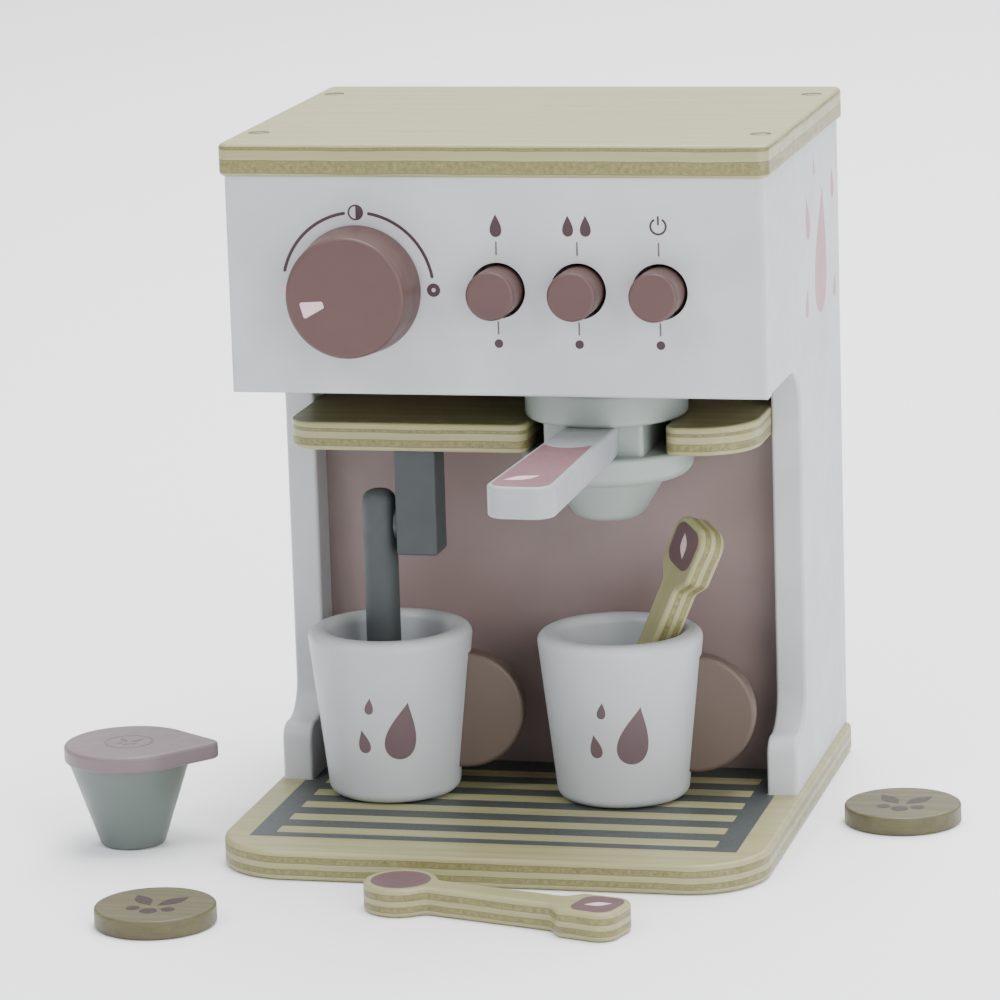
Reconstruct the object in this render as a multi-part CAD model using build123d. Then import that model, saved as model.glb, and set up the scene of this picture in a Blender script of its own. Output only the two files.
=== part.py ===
from build123d import *
import math
import os

# Toy coffee maker with two cups, two spoons, a capsule and two coffee pads.
# Millimetres. +Z up, +X to the right, the front faces -Y.
# The origin lies on the underside of the base board, at the centre of the top board's plan.

# ---------------------------------------------------------------- cabinet
BODY_WIDTH = 184.0
BODY_DEPTH = 145.5
TOTAL_HEIGHT = 242.4
BOARD_OVERHANG = 2.0
TOP_FRONT_OVERHANG = 1.5
TOP_THICKNESS = 11.1
TOP_CORNER_RADIUS = 4.0
BASE_THICKNESS = 10.1
BASE_FRONT_REACH = 47.0
BASE_CORNER_RADIUS = 26.0
BOARD_EDGE_ROUND = 1.6

SIDE_THICKNESS = 10.6
PAINTED_EDGE_ROUND = 1.2
HOUSING_HEIGHT = 74.0
CHEEK_FILLET = 16.0
LEG_SETBACK = 62.8
FOOT_REACH = 20.3
FOOT_HEIGHT = 20.0
FOOT_SWEEP = 12.0
FOOT_NOSE = 6.0

FRONT_THICKNESS = 9.0
BACK_THICKNESS = 8.0
BAY_DEPTH = 76.0
FLOOR_THICKNESS = 6.0
FLOOR_LIP = 8.0

SHELF_THICKNESS = 10.0
SHELF_EDGE_ROUND = 1.0
SHELF_GAP = 14.7
SHELF_SETBACK = 25.0
SHELF_LEFT_RADIUS = 11.0
SHELF_RIGHT_RADIUS = 21.0
NOTCH_WIDTH = 48.0
NOTCH_REAR_CLEARANCE = 3.0
NOTCH_REAR_RADIUS = 12.0
NOTCH_MOUTH_RADIUS = 5.0

GLUE_GAP = 0.02
SCREW_GAP = 0.06
RUNNING_GAP = 0.08
MOVING_GAP = 0.3

# ---------------------------------------------------------------- fasteners
SCREW_HEAD_RADIUS = 3.6
SCREW_HEAD_DEPTH = 3.0
SCREW_SHANK_RADIUS = 1.7
SCREW_LENGTH = 28.0
SCREW_POINT_LENGTH = 3.4
SCREW_HEAD_SINK = 0.4
SLOT_WIDTH = 1.0
SLOT_DEPTH = 1.2
TOP_SCREW_FRONT_INSET = 26.0
BASE_SCREW_SETBACK = 4.0
SCREW_REAR_INSET = 21.5
DOWEL_RADIUS = 3.0
DOWEL_LENGTH = 14.0
THIN_DOWEL_RADIUS = 2.0
THIN_DOWEL_LENGTH = 12.0
DOWEL_CHAMFER = 0.5
DOWEL_END_INSET = 12.0
FRONT_DOWEL_INSET = 14.0
BACK_DOWEL_RISE = 40.0
SHELF_BACK_DOWEL_XS = (-54.0, -8.0)

# ---------------------------------------------------------------- dial and buttons
CONTROL_RISE = 35.9
DIAL_X = -46.6
DIAL_BASE_RADIUS = 22.0
DIAL_FACE_RADIUS = 20.4
DIAL_LENGTH = 18.0
DIAL_FACE_ROUND = 1.4
DIAL_BASE_ROUND = 0.8
SPINDLE_RADIUS = 4.0
SPINDLE_SOCKET = 11.0
SPINDLE_CHAMFER = 0.6
SPINDLE_TAIL = 1.5
RETAINER_RADIUS = 9.0
RETAINER_LENGTH = 5.0
RETAINER_CHAMFER = 0.8

BUTTON_NAMES = ("single_cup_button", "double_cup_button", "power_button")
BUTTON_FIRST_X = 1.4
BUTTON_PITCH = 27.6
BUTTON_RADIUS = 8.3
BUTTON_HOLE_RADIUS = 9.5
BUTTON_PROTRUSION = 12.0
BUTTON_FACE_ROUND = 1.2
BUTTON_FLANGE_RADIUS = 11.5
BUTTON_FLANGE_LENGTH = 3.0
BUTTON_STEM_RADIUS = 3.0
BUTTON_STEM_TAIL = 2.0

RAIL_THICKNESS = 8.0
RAIL_HEIGHT = 46.0
SPRING_LENGTH = 13.7
SPRING_WIRE_RADIUS = 0.5
SPRING_RADIUS = 4.6
SPRING_TURNS = 4

# ---------------------------------------------------------------- portafilter
GROUP_X = 27.5
FLANGE_BACK_GAP = 0.5
COLLAR_WALL = 7.3
COLLAR_HEIGHT = 12.0
COLLAR_ROUND = 2.0
BASKET_DEPTH = 7.0
BASKET_CLEARANCE = 0.6
BASKET_ROUND = 1.5
NECK_WIDTH = 34.8
NECK_CORNER_RADIUS = 1.5
HANDLE_WIDTH = 23.0
HANDLE_TAPER = 2.7
HANDLE_REACH = 123.0
HANDLE_TURN = -1.5
HANDLE_END_RADIUS = 7.0
HANDLE_EDGE_ROUND = 1.0
FLANGE_STEP = 1.5
FLANGE_HEIGHT = 10.2
FLANGE_ROUND = 1.5
FLANGE_UNDER_ROUND = 5.0
BOWL_TOP_RADIUS = 20.5
BOWL_BOTTOM_RADIUS = 11.5
BOWL_HEIGHT = 15.0
BOWL_ROUND = 5.0
BOWL_NECK_ROUND = 2.5
CORE_DOWEL_RADIUS = 5.0
CORE_DOWEL_SEAT = 3.5
CORE_DOWEL_DEPTH = 18.0
CORE_DOWEL_CHAMFER = 0.6

# ---------------------------------------------------------------- steam wand
WAND_OFFSET_X = -2.3
WAND_RADIUS = 6.0
WAND_LENGTH = 81.3
WAND_PIVOT_DROP = 27.3
WAND_TOP_REACH = 12.0
WAND_TOP_ROUND = 4.5
BRACKET_WIDTH = 14.5
BRACKET_DEPTH = 14.5
BRACKET_DROP = 37.2
BRACKET_EDGE_ROUND = 1.0
WASHER_THICKNESS = 1.2
WASHER_RADIUS = 5.5
WASHER_PLAY = 0.15
PIVOT_PIN_RADIUS = 2.5
PIVOT_PIN_REACH = 10.5
PIVOT_PIN_END_PLAY = 0.5
PIVOT_PIN_INSET = 1.0
PIVOT_PIN_CHAMFER = 0.4

# ---------------------------------------------------------------- loose pieces
CUP_HEIGHT = 58.5
CUP_TOP_RADIUS = 28.9
CUP_BOTTOM_RADIUS = 22.6
CUP_WALL = 7.6
CUP_FLOOR = 6.0
CUP_LIP_ROUND = 3.2
CUP_FOOT_ROUND = 3.6
CUP_INNER_ROUND = 4.0
LEFT_CUP_SIDE_GAP = 3.3
LEFT_CUP_BACK_GAP = 12.1
RIGHT_CUP_OFFSET_X = 4.3
RIGHT_CUP_BACK_GAP = 9.1
CUP_HANDLE_RADIUS = 20.6
CUP_HANDLE_THICKNESS = 8.0
CUP_HANDLE_HEIGHT = 29.0
CUP_HANDLE_OFFSET = 25.8
CUP_HANDLE_SEAT = 3.0
CUP_HANDLE_EDGE_ROUND = 1.5
CUP_HANDLE_TURN = 6.0

SPOON_LENGTH = 94.5
SPOON_THICKNESS = 9.5
SPOON_BOWL_RADIUS = 12.4
SPOON_DISH_RADIUS = 10.0
SPOON_DISH_DEPTH = 1.5
SPOON_NECK_WIDTH = 10.0
SPOON_PADDLE_LENGTH = 24.0
SPOON_PADDLE_WIDTH = 20.0
SPOON_PADDLE_END_WIDTH = 21.0
SPOON_SHOULDER = 5.0
SPOON_CORNER_RADIUS = 6.5
SPOON_SHOULDER_ROUND = 3.0
SPOON_NECK_ROUND = 4.0
SPOON_EDGE_ROUND = 1.2
FLOOR_SPOON_X = -19.9
FLOOR_SPOON_GAP = 25.0
FLOOR_SPOON_TURN = -15.2
CUP_SPOON_OFFSET_X = -1.6
CUP_SPOON_OFFSET_Y = 1.0
CUP_SPOON_LIFT = 2.6
CUP_SPOON_LEAN = 23.0
CUP_SPOON_TURN = -144.0

CAPSULE_SIDE_GAP = 7.3
CAPSULE_Y = -80.0
CAPSULE_HEIGHT = 30.0
CAPSULE_TOP_RADIUS = 21.0
CAPSULE_BOTTOM_RADIUS = 11.0
CAPSULE_FOOT_ROUND = 1.5
CAPSULE_LID_RADIUS = 22.4
CAPSULE_LID_THICKNESS = 5.8
CAPSULE_LID_ROUND = 1.2
CAPSULE_TAB_RADIUS = 4.2
CAPSULE_TAB_REACH = 26.7
CAPSULE_TAB_TURN = 8.0

PAD_RADIUS = 20.1
PAD_THICKNESS = 6.3
PAD_EDGE_ROUND = 0.8
LEFT_PAD_X = -95.9
LEFT_PAD_FRONT_GAP = 32.3
RIGHT_PAD_SIDE_GAP = 12.9
RIGHT_PAD_Y = -20.1

# ---------------------------------------------------------------- places worked out from the sizes above
REAR_Y = (BODY_DEPTH + TOP_FRONT_OVERHANG) / 2
FRONT_Y = REAR_Y - BODY_DEPTH
OUTER_X = BODY_WIDTH / 2
INNER_X = OUTER_X - SIDE_THICKNESS
TOP_Z = TOTAL_HEIGHT - TOP_THICKNESS
HOUSING_Z = TOP_Z - HOUSING_HEIGHT
CHEEK_Y = FRONT_Y + FRONT_THICKNESS
LEG_Y = FRONT_Y + LEG_SETBACK
BAY_BACK_Y = FRONT_Y + BAY_DEPTH
TRAY_Z = BASE_THICKNESS
BASE_HALF_WIDTH = OUTER_X + BOARD_OVERHANG
BASE_FRONT_Y = FRONT_Y - BASE_FRONT_REACH
CONTROL_Z = HOUSING_Z + CONTROL_RISE
FLOOR_Z = HOUSING_Z + FLOOR_LIP
RAIL_Z = FLOOR_Z + FLOOR_THICKNESS
BUTTON_FLANGE_Y = CHEEK_Y + MOVING_GAP
RAIL_Y = BUTTON_FLANGE_Y + BUTTON_FLANGE_LENGTH + SPRING_LENGTH
DIAL_BACK_Y = FRONT_Y - MOVING_GAP
RETAINER_Y = RAIL_Y + RAIL_THICKNESS + MOVING_GAP
SHELF_TOP_Z = HOUSING_Z - SHELF_GAP
SHELF_Z = SHELF_TOP_Z - SHELF_THICKNESS
SHELF_Y = FRONT_Y + SHELF_SETBACK
BUTTON_XS = [BUTTON_FIRST_X + BUTTON_PITCH * i for i in range(len(BUTTON_NAMES))]
COLLAR_RADIUS = PAD_RADIUS + BASKET_CLEARANCE + COLLAR_WALL
FLANGE_RADIUS = COLLAR_RADIUS + FLANGE_STEP
GROUP_Y = BAY_BACK_Y - FLANGE_RADIUS - FLANGE_BACK_GAP
COLLAR_Z = SHELF_TOP_Z + MOVING_GAP
NECK_THICKNESS = SHELF_THICKNESS + 2 * MOVING_GAP
NECK_FRONT = SHELF_Y - GROUP_Y
FLANGE_TOP_Z = COLLAR_Z - NECK_THICKNESS
FLANGE_Z = FLANGE_TOP_Z - FLANGE_HEIGHT
SIDE_MIDDLE_X = OUTER_X - SIDE_THICKNESS / 2
CUP_SLOPE = (CUP_TOP_RADIUS - CUP_BOTTOM_RADIUS) / CUP_HEIGHT
CUP_Z = TRAY_Z + MOVING_GAP
LEFT_CUP_X = LEFT_CUP_SIDE_GAP + CUP_TOP_RADIUS - INNER_X
LEFT_CUP_Y = BAY_BACK_Y - CUP_TOP_RADIUS - LEFT_CUP_BACK_GAP
RIGHT_CUP_X = GROUP_X + RIGHT_CUP_OFFSET_X
RIGHT_CUP_Y = BAY_BACK_Y - CUP_TOP_RADIUS - RIGHT_CUP_BACK_GAP
WAND_X = LEFT_CUP_X + WAND_OFFSET_X
WAND_Y = LEFT_CUP_Y
WAND_PIVOT_Z = SHELF_Z - WAND_PIVOT_DROP
BRACKET_X = WAND_X + WAND_RADIUS + WASHER_THICKNESS + 2 * WASHER_PLAY
FLOOR_SPOON_Y = BASE_FRONT_Y - FLOOR_SPOON_GAP
CAPSULE_X = -(BASE_HALF_WIDTH + CAPSULE_SIDE_GAP + CAPSULE_TAB_REACH + CAPSULE_TAB_RADIUS)
LEFT_PAD_Y = BASE_FRONT_Y - LEFT_PAD_FRONT_GAP - PAD_RADIUS
RIGHT_PAD_X = BASE_HALF_WIDTH + RIGHT_PAD_SIDE_GAP + PAD_RADIUS


# ---------------------------------------------------------------- helpers
def block(low, high):
    """A box between two opposite corners."""
    size = [b - a for a, b in zip(low, high)]
    middle = [(a + b) / 2 for a, b in zip(low, high)]
    return Pos(*middle) * Box(*size)


def rod(radius, length):
    """A cylinder that stands on the XY plane."""
    return Cylinder(radius, length, align=(Align.CENTER, Align.CENTER, Align.MIN))


def along_y(shape):
    """Turns +Z into +Y."""
    return Rot(X=-90) * shape


def along_x(shape):
    """Turns +Z into +X."""
    return Rot(Y=90) * shape


def turned(corners, rounds=()):
    """A solid of revolution about Z from (radius, height) corners; rounds gives (corner, radius) pairs."""
    face = make_face(Plane.XZ * Polyline(*corners, close=True))
    for (r, h), radius in rounds:
        nearest = face.vertices().sort_by_distance(Vector(r, 0, h))[0]
        face = fillet(nearest, radius)
    return revolve(face, Axis.Z)


def near(vertices, x, y):
    """The vertex of a flat sketch that lies nearest to (x, y)."""
    return vertices.sort_by_distance(Vector(x, y, 0))[0]


def slab(outline, thickness, edge_round):
    """A board cut to a flat outline, with both faces' edges rounded."""
    board = extrude(outline, thickness)
    return fillet(board.edges().filter_by(Axis.Z, reverse=True), edge_round)


def facing_front(shape):
    """Turns +Z into -Y, towards the person who plays."""
    return Rot(X=90) * shape


def through(radius, depth):
    """The tool for a hole from the XY plane upwards that breaks out cleanly at both ends."""
    return Pos(0, 0, -1) * rod(radius, depth + 2)


# ---------------------------------------------------------------- fasteners
def screw():
    """A countersunk wood screw with its head's top at the origin, pointing down."""
    body = turned([
        (0, 0),
        (SCREW_HEAD_RADIUS, 0),
        (SCREW_SHANK_RADIUS, -SCREW_HEAD_DEPTH),
        (SCREW_SHANK_RADIUS, SCREW_POINT_LENGTH - SCREW_LENGTH),
        (0, -SCREW_LENGTH),
    ])
    slot = Pos(0, 0, -SLOT_DEPTH / 2) * Box(2 * SCREW_HEAD_RADIUS, SLOT_WIDTH, SLOT_DEPTH)
    return body - slot


def screw_hole():
    """The countersunk hole and pilot that the screw sits in, open above the head."""
    gap = SCREW_GAP
    return turned([
        (0, SCREW_HEAD_SINK + 1),
        (SCREW_HEAD_RADIUS + gap, SCREW_HEAD_SINK + 1),
        (SCREW_HEAD_RADIUS + gap, 0),
        (SCREW_SHANK_RADIUS + gap, -SCREW_HEAD_DEPTH),
        (SCREW_SHANK_RADIUS + gap, -SCREW_LENGTH - 1),
        (0, -SCREW_LENGTH - 1),
    ])


def top_screw_places():
    """Over the middle of the side panels, heads up."""
    ys = (FRONT_Y + TOP_SCREW_FRONT_INSET, REAR_Y - SCREW_REAR_INSET)
    return [Pos(s * SIDE_MIDDLE_X, y, TOTAL_HEIGHT - SCREW_HEAD_SINK) for s in (-1, 1) for y in ys]


def base_screw_places():
    """Under the middle of the side panels, heads down."""
    ys = (LEG_Y + BASE_SCREW_SETBACK, REAR_Y - SCREW_REAR_INSET)
    return [Pos(s * SIDE_MIDDLE_X, y, SCREW_HEAD_SINK) * Rot(X=180) for s in (-1, 1) for y in ys]


def dowel(length, radius):
    """A dowel pin centred on the origin along Z."""
    return chamfer(Cylinder(radius, length).edges().filter_by(GeomType.CIRCLE), DOWEL_CHAMFER)


def thick_dowel():
    return dowel(DOWEL_LENGTH, DOWEL_RADIUS)


def thin_dowel():
    return dowel(THIN_DOWEL_LENGTH, THIN_DOWEL_RADIUS)


def thick_dowel_hole():
    return Cylinder(DOWEL_RADIUS + GLUE_GAP, DOWEL_LENGTH + 1)


def thin_dowel_hole():
    return Cylinder(THIN_DOWEL_RADIUS + GLUE_GAP, THIN_DOWEL_LENGTH + 1)


def side_joints(spots):
    """Dowel places across both side joints, for (y, z) spots."""
    return [Pos(s * INNER_X, y, z) * Rot(Y=90) for s in (-1, 1) for y, z in spots]


def shelf_dowel_places():
    """One in each end of the shelf, in the narrow seat between the leg's edge and the back panel."""
    return side_joints([((LEG_Y + BAY_BACK_Y) / 2, SHELF_Z + SHELF_THICKNESS / 2)])


def shelf_back_dowel_places():
    z = SHELF_Z + SHELF_THICKNESS / 2
    return [Pos(x, BAY_BACK_Y, z) * Rot(X=90) for x in SHELF_BACK_DOWEL_XS]


def bracket_dowel_places():
    """Two upright ones between the shelf and the wand's bracket, one behind the other."""
    x = BRACKET_X + BRACKET_WIDTH / 2
    return [Pos(x, WAND_Y + side * BRACKET_DEPTH / 4, SHELF_Z) for side in (-1, 1)]


def rail_dowel_places():
    return side_joints([(RAIL_Y + RAIL_THICKNESS / 2, RAIL_Z + RAIL_HEIGHT / 2)])


def floor_dowel_places():
    ys = (CHEEK_Y + DOWEL_END_INSET, BAY_BACK_Y - DOWEL_END_INSET)
    return side_joints([(y, FLOOR_Z + FLOOR_THICKNESS / 2) for y in ys])


def front_dowel_places():
    zs = (HOUSING_Z + FRONT_DOWEL_INSET, TOP_Z - FRONT_DOWEL_INSET)
    return [Pos(s * SIDE_MIDDLE_X, CHEEK_Y, z) * Rot(X=90) for s in (-1, 1) for z in zs]


def back_dowel_places():
    y = BAY_BACK_Y + BACK_THICKNESS / 2
    return side_joints([(y, TRAY_Z + BACK_DOWEL_RISE), (y, HOUSING_Z + BACK_DOWEL_RISE)])


def bore(shape, places, tool):
    for place in places:
        shape = shape - place * tool
    return shape


def group(places, piece):
    """Identical fasteners as one node of separate solids."""
    return Compound(children=[place * piece for place in places])


# ---------------------------------------------------------------- cabinet
def base_board():
    """The tray board under the cabinet, which runs forward as the cup tray."""
    half = BASE_HALF_WIDTH
    outline = Pos(0, (BASE_FRONT_Y + REAR_Y) / 2) * Rectangle(2 * half, REAR_Y - BASE_FRONT_Y)
    corners = [near(outline.vertices(), s * half, BASE_FRONT_Y) for s in (-1, 1)]
    outline = fillet(corners, BASE_CORNER_RADIUS)
    rear = [near(outline.vertices(), s * half, REAR_Y) for s in (-1, 1)]
    board = slab(fillet(rear, TOP_CORNER_RADIUS), BASE_THICKNESS, BOARD_EDGE_ROUND)
    return bore(board, base_screw_places(), screw_hole())


def top_board():
    width = BODY_WIDTH + 2 * BOARD_OVERHANG
    depth = BODY_DEPTH + TOP_FRONT_OVERHANG
    outline = RectangleRounded(width, depth, TOP_CORNER_RADIUS)
    board = Pos(0, 0, TOP_Z) * slab(outline, TOP_THICKNESS, BOARD_EDGE_ROUND)
    return bore(board, top_screw_places(), screw_hole())


def side_outline():
    """The side panel's profile, drawn in (y, z): cheek, leg and swept foot."""
    foot_z = TRAY_Z + FOOT_HEIGHT
    foot_y = LEG_Y - FOOT_REACH
    outline = make_face(Polyline(
        (CHEEK_Y, TOP_Z),
        (CHEEK_Y, HOUSING_Z),
        (LEG_Y, HOUSING_Z),
        (LEG_Y, foot_z),
        (foot_y, foot_z),
        (foot_y, TRAY_Z),
        (REAR_Y, TRAY_Z),
        (REAR_Y, TOP_Z),
        close=True,
    ))
    for y, z, radius in (
        (LEG_Y, HOUSING_Z, CHEEK_FILLET),
        (LEG_Y, foot_z, FOOT_SWEEP),
        (foot_y, foot_z, FOOT_NOSE),
    ):
        outline = fillet(near(outline.vertices(), y, z), radius)
    return outline


def side_panel(side):
    """side is -1 for the left panel and 1 for the right one."""
    start = INNER_X if side > 0 else -OUTER_X
    outline = Plane.YZ.offset(start) * side_outline()
    panel = extrude(outline, SIDE_THICKNESS, dir=(1, 0, 0))
    free_edges = []
    for edge in panel.edges().filter_by(lambda e: e.bounding_box().size.X < 1e-6):
        box = edge.bounding_box()
        on_top = box.min.Z > TOP_Z - 0.01
        on_base = box.max.Z < TRAY_Z + 0.01
        on_front = box.max.Y < CHEEK_Y + 0.01
        if not (on_top or on_base or on_front):
            free_edges.append(edge)
    panel = fillet(free_edges, PAINTED_EDGE_ROUND)
    panel = bore(panel, top_screw_places() + base_screw_places(), screw_hole())
    thick_places = shelf_dowel_places() + rail_dowel_places() + back_dowel_places()
    panel = bore(panel, thick_places, thick_dowel_hole())
    return bore(panel, floor_dowel_places() + front_dowel_places(), thin_dowel_hole())


def front_panel():
    panel = block((-OUTER_X, FRONT_Y, HOUSING_Z), (OUTER_X, CHEEK_Y, TOP_Z))
    face = panel.faces().sort_by(Axis.Y)[0]
    edges = [e for e in face.edges() if e.center().Z < TOP_Z - 0.01]
    panel = fillet(edges, PAINTED_EDGE_ROUND)
    for x in BUTTON_XS:
        hole = along_y(through(BUTTON_HOLE_RADIUS, FRONT_THICKNESS))
        panel = panel - Pos(x, FRONT_Y, CONTROL_Z) * hole
    spindle_hole = along_y(through(SPINDLE_RADIUS + RUNNING_GAP, FRONT_THICKNESS))
    panel = panel - Pos(DIAL_X, FRONT_Y, CONTROL_Z) * spindle_hole
    return bore(panel, front_dowel_places(), thin_dowel_hole())


def back_panel():
    """The painted rear wall of the cup bay, which also closes the housing behind."""
    low = (-INNER_X, BAY_BACK_Y, TRAY_Z)
    high = (INNER_X, BAY_BACK_Y + BACK_THICKNESS, TOP_Z)
    panel = bore(block(low, high), back_dowel_places(), thick_dowel_hole())
    return bore(panel, shelf_back_dowel_places(), thin_dowel_hole())


def housing_floor():
    low = (-INNER_X, CHEEK_Y, FLOOR_Z)
    high = (INNER_X, BAY_BACK_Y, FLOOR_Z + FLOOR_THICKNESS)
    return bore(block(low, high), floor_dowel_places(), thin_dowel_hole())


def shelf_outline():
    """The shelf's plan with a notch that is open to the front for the portafilter."""
    plan = Pos(0, (SHELF_Y + BAY_BACK_Y) / 2) * Rectangle(2 * INNER_X, BAY_BACK_Y - SHELF_Y)
    half = NOTCH_WIDTH / 2
    notch_rear = GROUP_Y + NECK_WIDTH / 2 + NOTCH_REAR_CLEARANCE
    notch_size = (NOTCH_WIDTH, 2 * (notch_rear - SHELF_Y))
    plan = plan - Pos(GROUP_X, SHELF_Y) * Rectangle(*notch_size)
    for x, y, radius in (
        (-INNER_X, SHELF_Y, SHELF_LEFT_RADIUS),
        (INNER_X, SHELF_Y, SHELF_RIGHT_RADIUS),
        (GROUP_X - half, notch_rear, NOTCH_REAR_RADIUS),
        (GROUP_X + half, notch_rear, NOTCH_REAR_RADIUS),
        (GROUP_X - half, SHELF_Y, NOTCH_MOUTH_RADIUS),
        (GROUP_X + half, SHELF_Y, NOTCH_MOUTH_RADIUS),
    ):
        plan = fillet(near(plan.vertices(), x, y), radius)
    return plan


def shelf_board():
    board = extrude(shelf_outline(), SHELF_THICKNESS)
    free_edges = [
        e for e in board.edges().filter_by(Axis.Z, reverse=True)
        if e.center().Y < BAY_BACK_Y - 0.5
        and abs(abs(e.center().X) - INNER_X) > 0.5
    ]
    board = Pos(0, 0, SHELF_Z) * fillet(free_edges, SHELF_EDGE_ROUND)
    board = bore(board, shelf_dowel_places(), thick_dowel_hole())
    board = bore(board, shelf_back_dowel_places(), thin_dowel_hole())
    return bore(board, bracket_dowel_places(), thin_dowel_hole())


def mechanism_rail():
    """Inner rail that guides the button stems and the dial's spindle."""
    low = (-INNER_X, RAIL_Y, RAIL_Z)
    high = (INNER_X, RAIL_Y + RAIL_THICKNESS, RAIL_Z + RAIL_HEIGHT)
    rail = block(low, high)
    for x in BUTTON_XS:
        hole = along_y(through(BUTTON_STEM_RADIUS + RUNNING_GAP, RAIL_THICKNESS))
        rail = rail - Pos(x, RAIL_Y, CONTROL_Z) * hole
    spindle_hole = along_y(through(SPINDLE_RADIUS + RUNNING_GAP, RAIL_THICKNESS))
    rail = rail - Pos(DIAL_X, RAIL_Y, CONTROL_Z) * spindle_hole
    return bore(rail, rail_dowel_places(), thick_dowel_hole())


# ---------------------------------------------------------------- dial
def dial_knob():
    """A tapered knob with a blind socket for the spindle."""
    knob = turned(
        [
            (0, 0),
            (DIAL_BASE_RADIUS, 0),
            (DIAL_FACE_RADIUS, DIAL_LENGTH),
            (0, DIAL_LENGTH),
        ],
        rounds=[
            ((DIAL_FACE_RADIUS, DIAL_LENGTH), DIAL_FACE_ROUND),
            ((DIAL_BASE_RADIUS, 0), DIAL_BASE_ROUND),
        ],
    )
    knob = knob - through(SPINDLE_RADIUS + GLUE_GAP, SPINDLE_SOCKET)
    return Pos(DIAL_X, DIAL_BACK_Y, CONTROL_Z) * facing_front(knob)


def dial_spindle():
    """Glued in the knob and the retainer, running in the front panel and the rail."""
    start = DIAL_BACK_Y - SPINDLE_SOCKET
    pin = rod(SPINDLE_RADIUS, RETAINER_Y + RETAINER_LENGTH + SPINDLE_TAIL - start)
    pin = chamfer(pin.edges().filter_by(GeomType.CIRCLE), SPINDLE_CHAMFER)
    return Pos(DIAL_X, start, CONTROL_Z) * along_y(pin)


def dial_retainer():
    """The ring behind the rail that keeps the spindle in."""
    ring = chamfer(rod(RETAINER_RADIUS, RETAINER_LENGTH).edges().filter_by(GeomType.CIRCLE), RETAINER_CHAMFER)
    ring = ring - through(SPINDLE_RADIUS + GLUE_GAP, RETAINER_LENGTH)
    return Pos(DIAL_X, RETAINER_Y, CONTROL_Z) * along_y(ring)


# ---------------------------------------------------------------- push buttons
def push_button(x):
    """A turned button: cap, stop flange behind the panel, and a stem that runs in the rail."""
    cap_length = BUTTON_FLANGE_Y - (FRONT_Y - BUTTON_PROTRUSION)
    stem_end = RAIL_Y + RAIL_THICKNESS + BUTTON_STEM_TAIL - BUTTON_FLANGE_Y
    body = turned(
        [
            (0, -stem_end),
            (BUTTON_STEM_RADIUS, -stem_end),
            (BUTTON_STEM_RADIUS, -BUTTON_FLANGE_LENGTH),
            (BUTTON_FLANGE_RADIUS, -BUTTON_FLANGE_LENGTH),
            (BUTTON_FLANGE_RADIUS, 0),
            (BUTTON_RADIUS, 0),
            (BUTTON_RADIUS, cap_length),
            (0, cap_length),
        ],
        rounds=[((BUTTON_RADIUS, cap_length), BUTTON_FACE_ROUND)],
    )
    return Pos(x, BUTTON_FLANGE_Y, CONTROL_Z) * facing_front(body)


def button_spring(x):
    """A compression spring between the button's flange and the rail."""
    length = SPRING_LENGTH - 2 * SPRING_WIRE_RADIUS
    path = Helix(length / SPRING_TURNS, length, SPRING_RADIUS)
    section = Plane(origin=path @ 0, z_dir=path % 0) * Circle(SPRING_WIRE_RADIUS)
    coil = sweep(section, path=path, is_frenet=True)
    return Pos(x, RAIL_Y - SPRING_WIRE_RADIUS - length, CONTROL_Z) * along_y(coil)


# ---------------------------------------------------------------- portafilter
def portafilter_collar():
    """The turned disc that hangs on the shelf, with a round basket for a coffee pad."""
    basket = PAD_RADIUS + BASKET_CLEARANCE
    floor = COLLAR_HEIGHT - BASKET_DEPTH
    collar = turned(
        [
            (0, 0),
            (COLLAR_RADIUS, 0),
            (COLLAR_RADIUS, COLLAR_HEIGHT),
            (basket, COLLAR_HEIGHT),
            (basket, floor),
            (0, floor),
        ],
        rounds=[
            ((COLLAR_RADIUS, 0), COLLAR_ROUND),
            ((COLLAR_RADIUS, COLLAR_HEIGHT), COLLAR_ROUND),
            ((basket, COLLAR_HEIGHT), BASKET_ROUND),
        ],
    )
    socket = Pos(0, 0, CORE_DOWEL_SEAT) * Rot(X=180) * through(CORE_DOWEL_RADIUS + GLUE_GAP, CORE_DOWEL_SEAT)
    return Pos(GROUP_X, GROUP_Y, COLLAR_Z) * (collar - socket)


def neck_place():
    """The neck and its handle stand very slightly askew in the notch."""
    return Pos(GROUP_X, GROUP_Y, FLANGE_TOP_Z) * Rot(Z=HANDLE_TURN)


def handle_dowel_place():
    """Across the joint between the neck's front and the handle's end."""
    return Pos(0, NECK_FRONT, NECK_THICKNESS / 2) * Rot(X=90)


def portafilter_neck():
    """The square block between collar and bowl that slides in the shelf's notch."""
    plan = Pos(0, NECK_FRONT + NECK_WIDTH / 2) * Rectangle(NECK_WIDTH, NECK_WIDTH)
    neck = extrude(fillet(plan.vertices(), NECK_CORNER_RADIUS), NECK_THICKNESS)
    neck = neck - through(CORE_DOWEL_RADIUS + GLUE_GAP, NECK_THICKNESS)
    return neck_place() * (neck - handle_dowel_place() * thick_dowel_hole())


def portafilter_handle():
    """A flat board that widens towards its rounded end."""
    half = HANDLE_WIDTH / 2
    root = half - HANDLE_TAPER
    tip = -HANDLE_REACH
    plan = make_face(Polyline((-root, NECK_FRONT), (-half, tip), (half, tip), (root, NECK_FRONT), close=True))
    for side in (-1, 1):
        plan = fillet(near(plan.vertices(), side * half, tip), HANDLE_END_RADIUS)
    board = slab(plan, NECK_THICKNESS, HANDLE_EDGE_ROUND)
    return neck_place() * (board - handle_dowel_place() * thick_dowel_hole())


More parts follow.
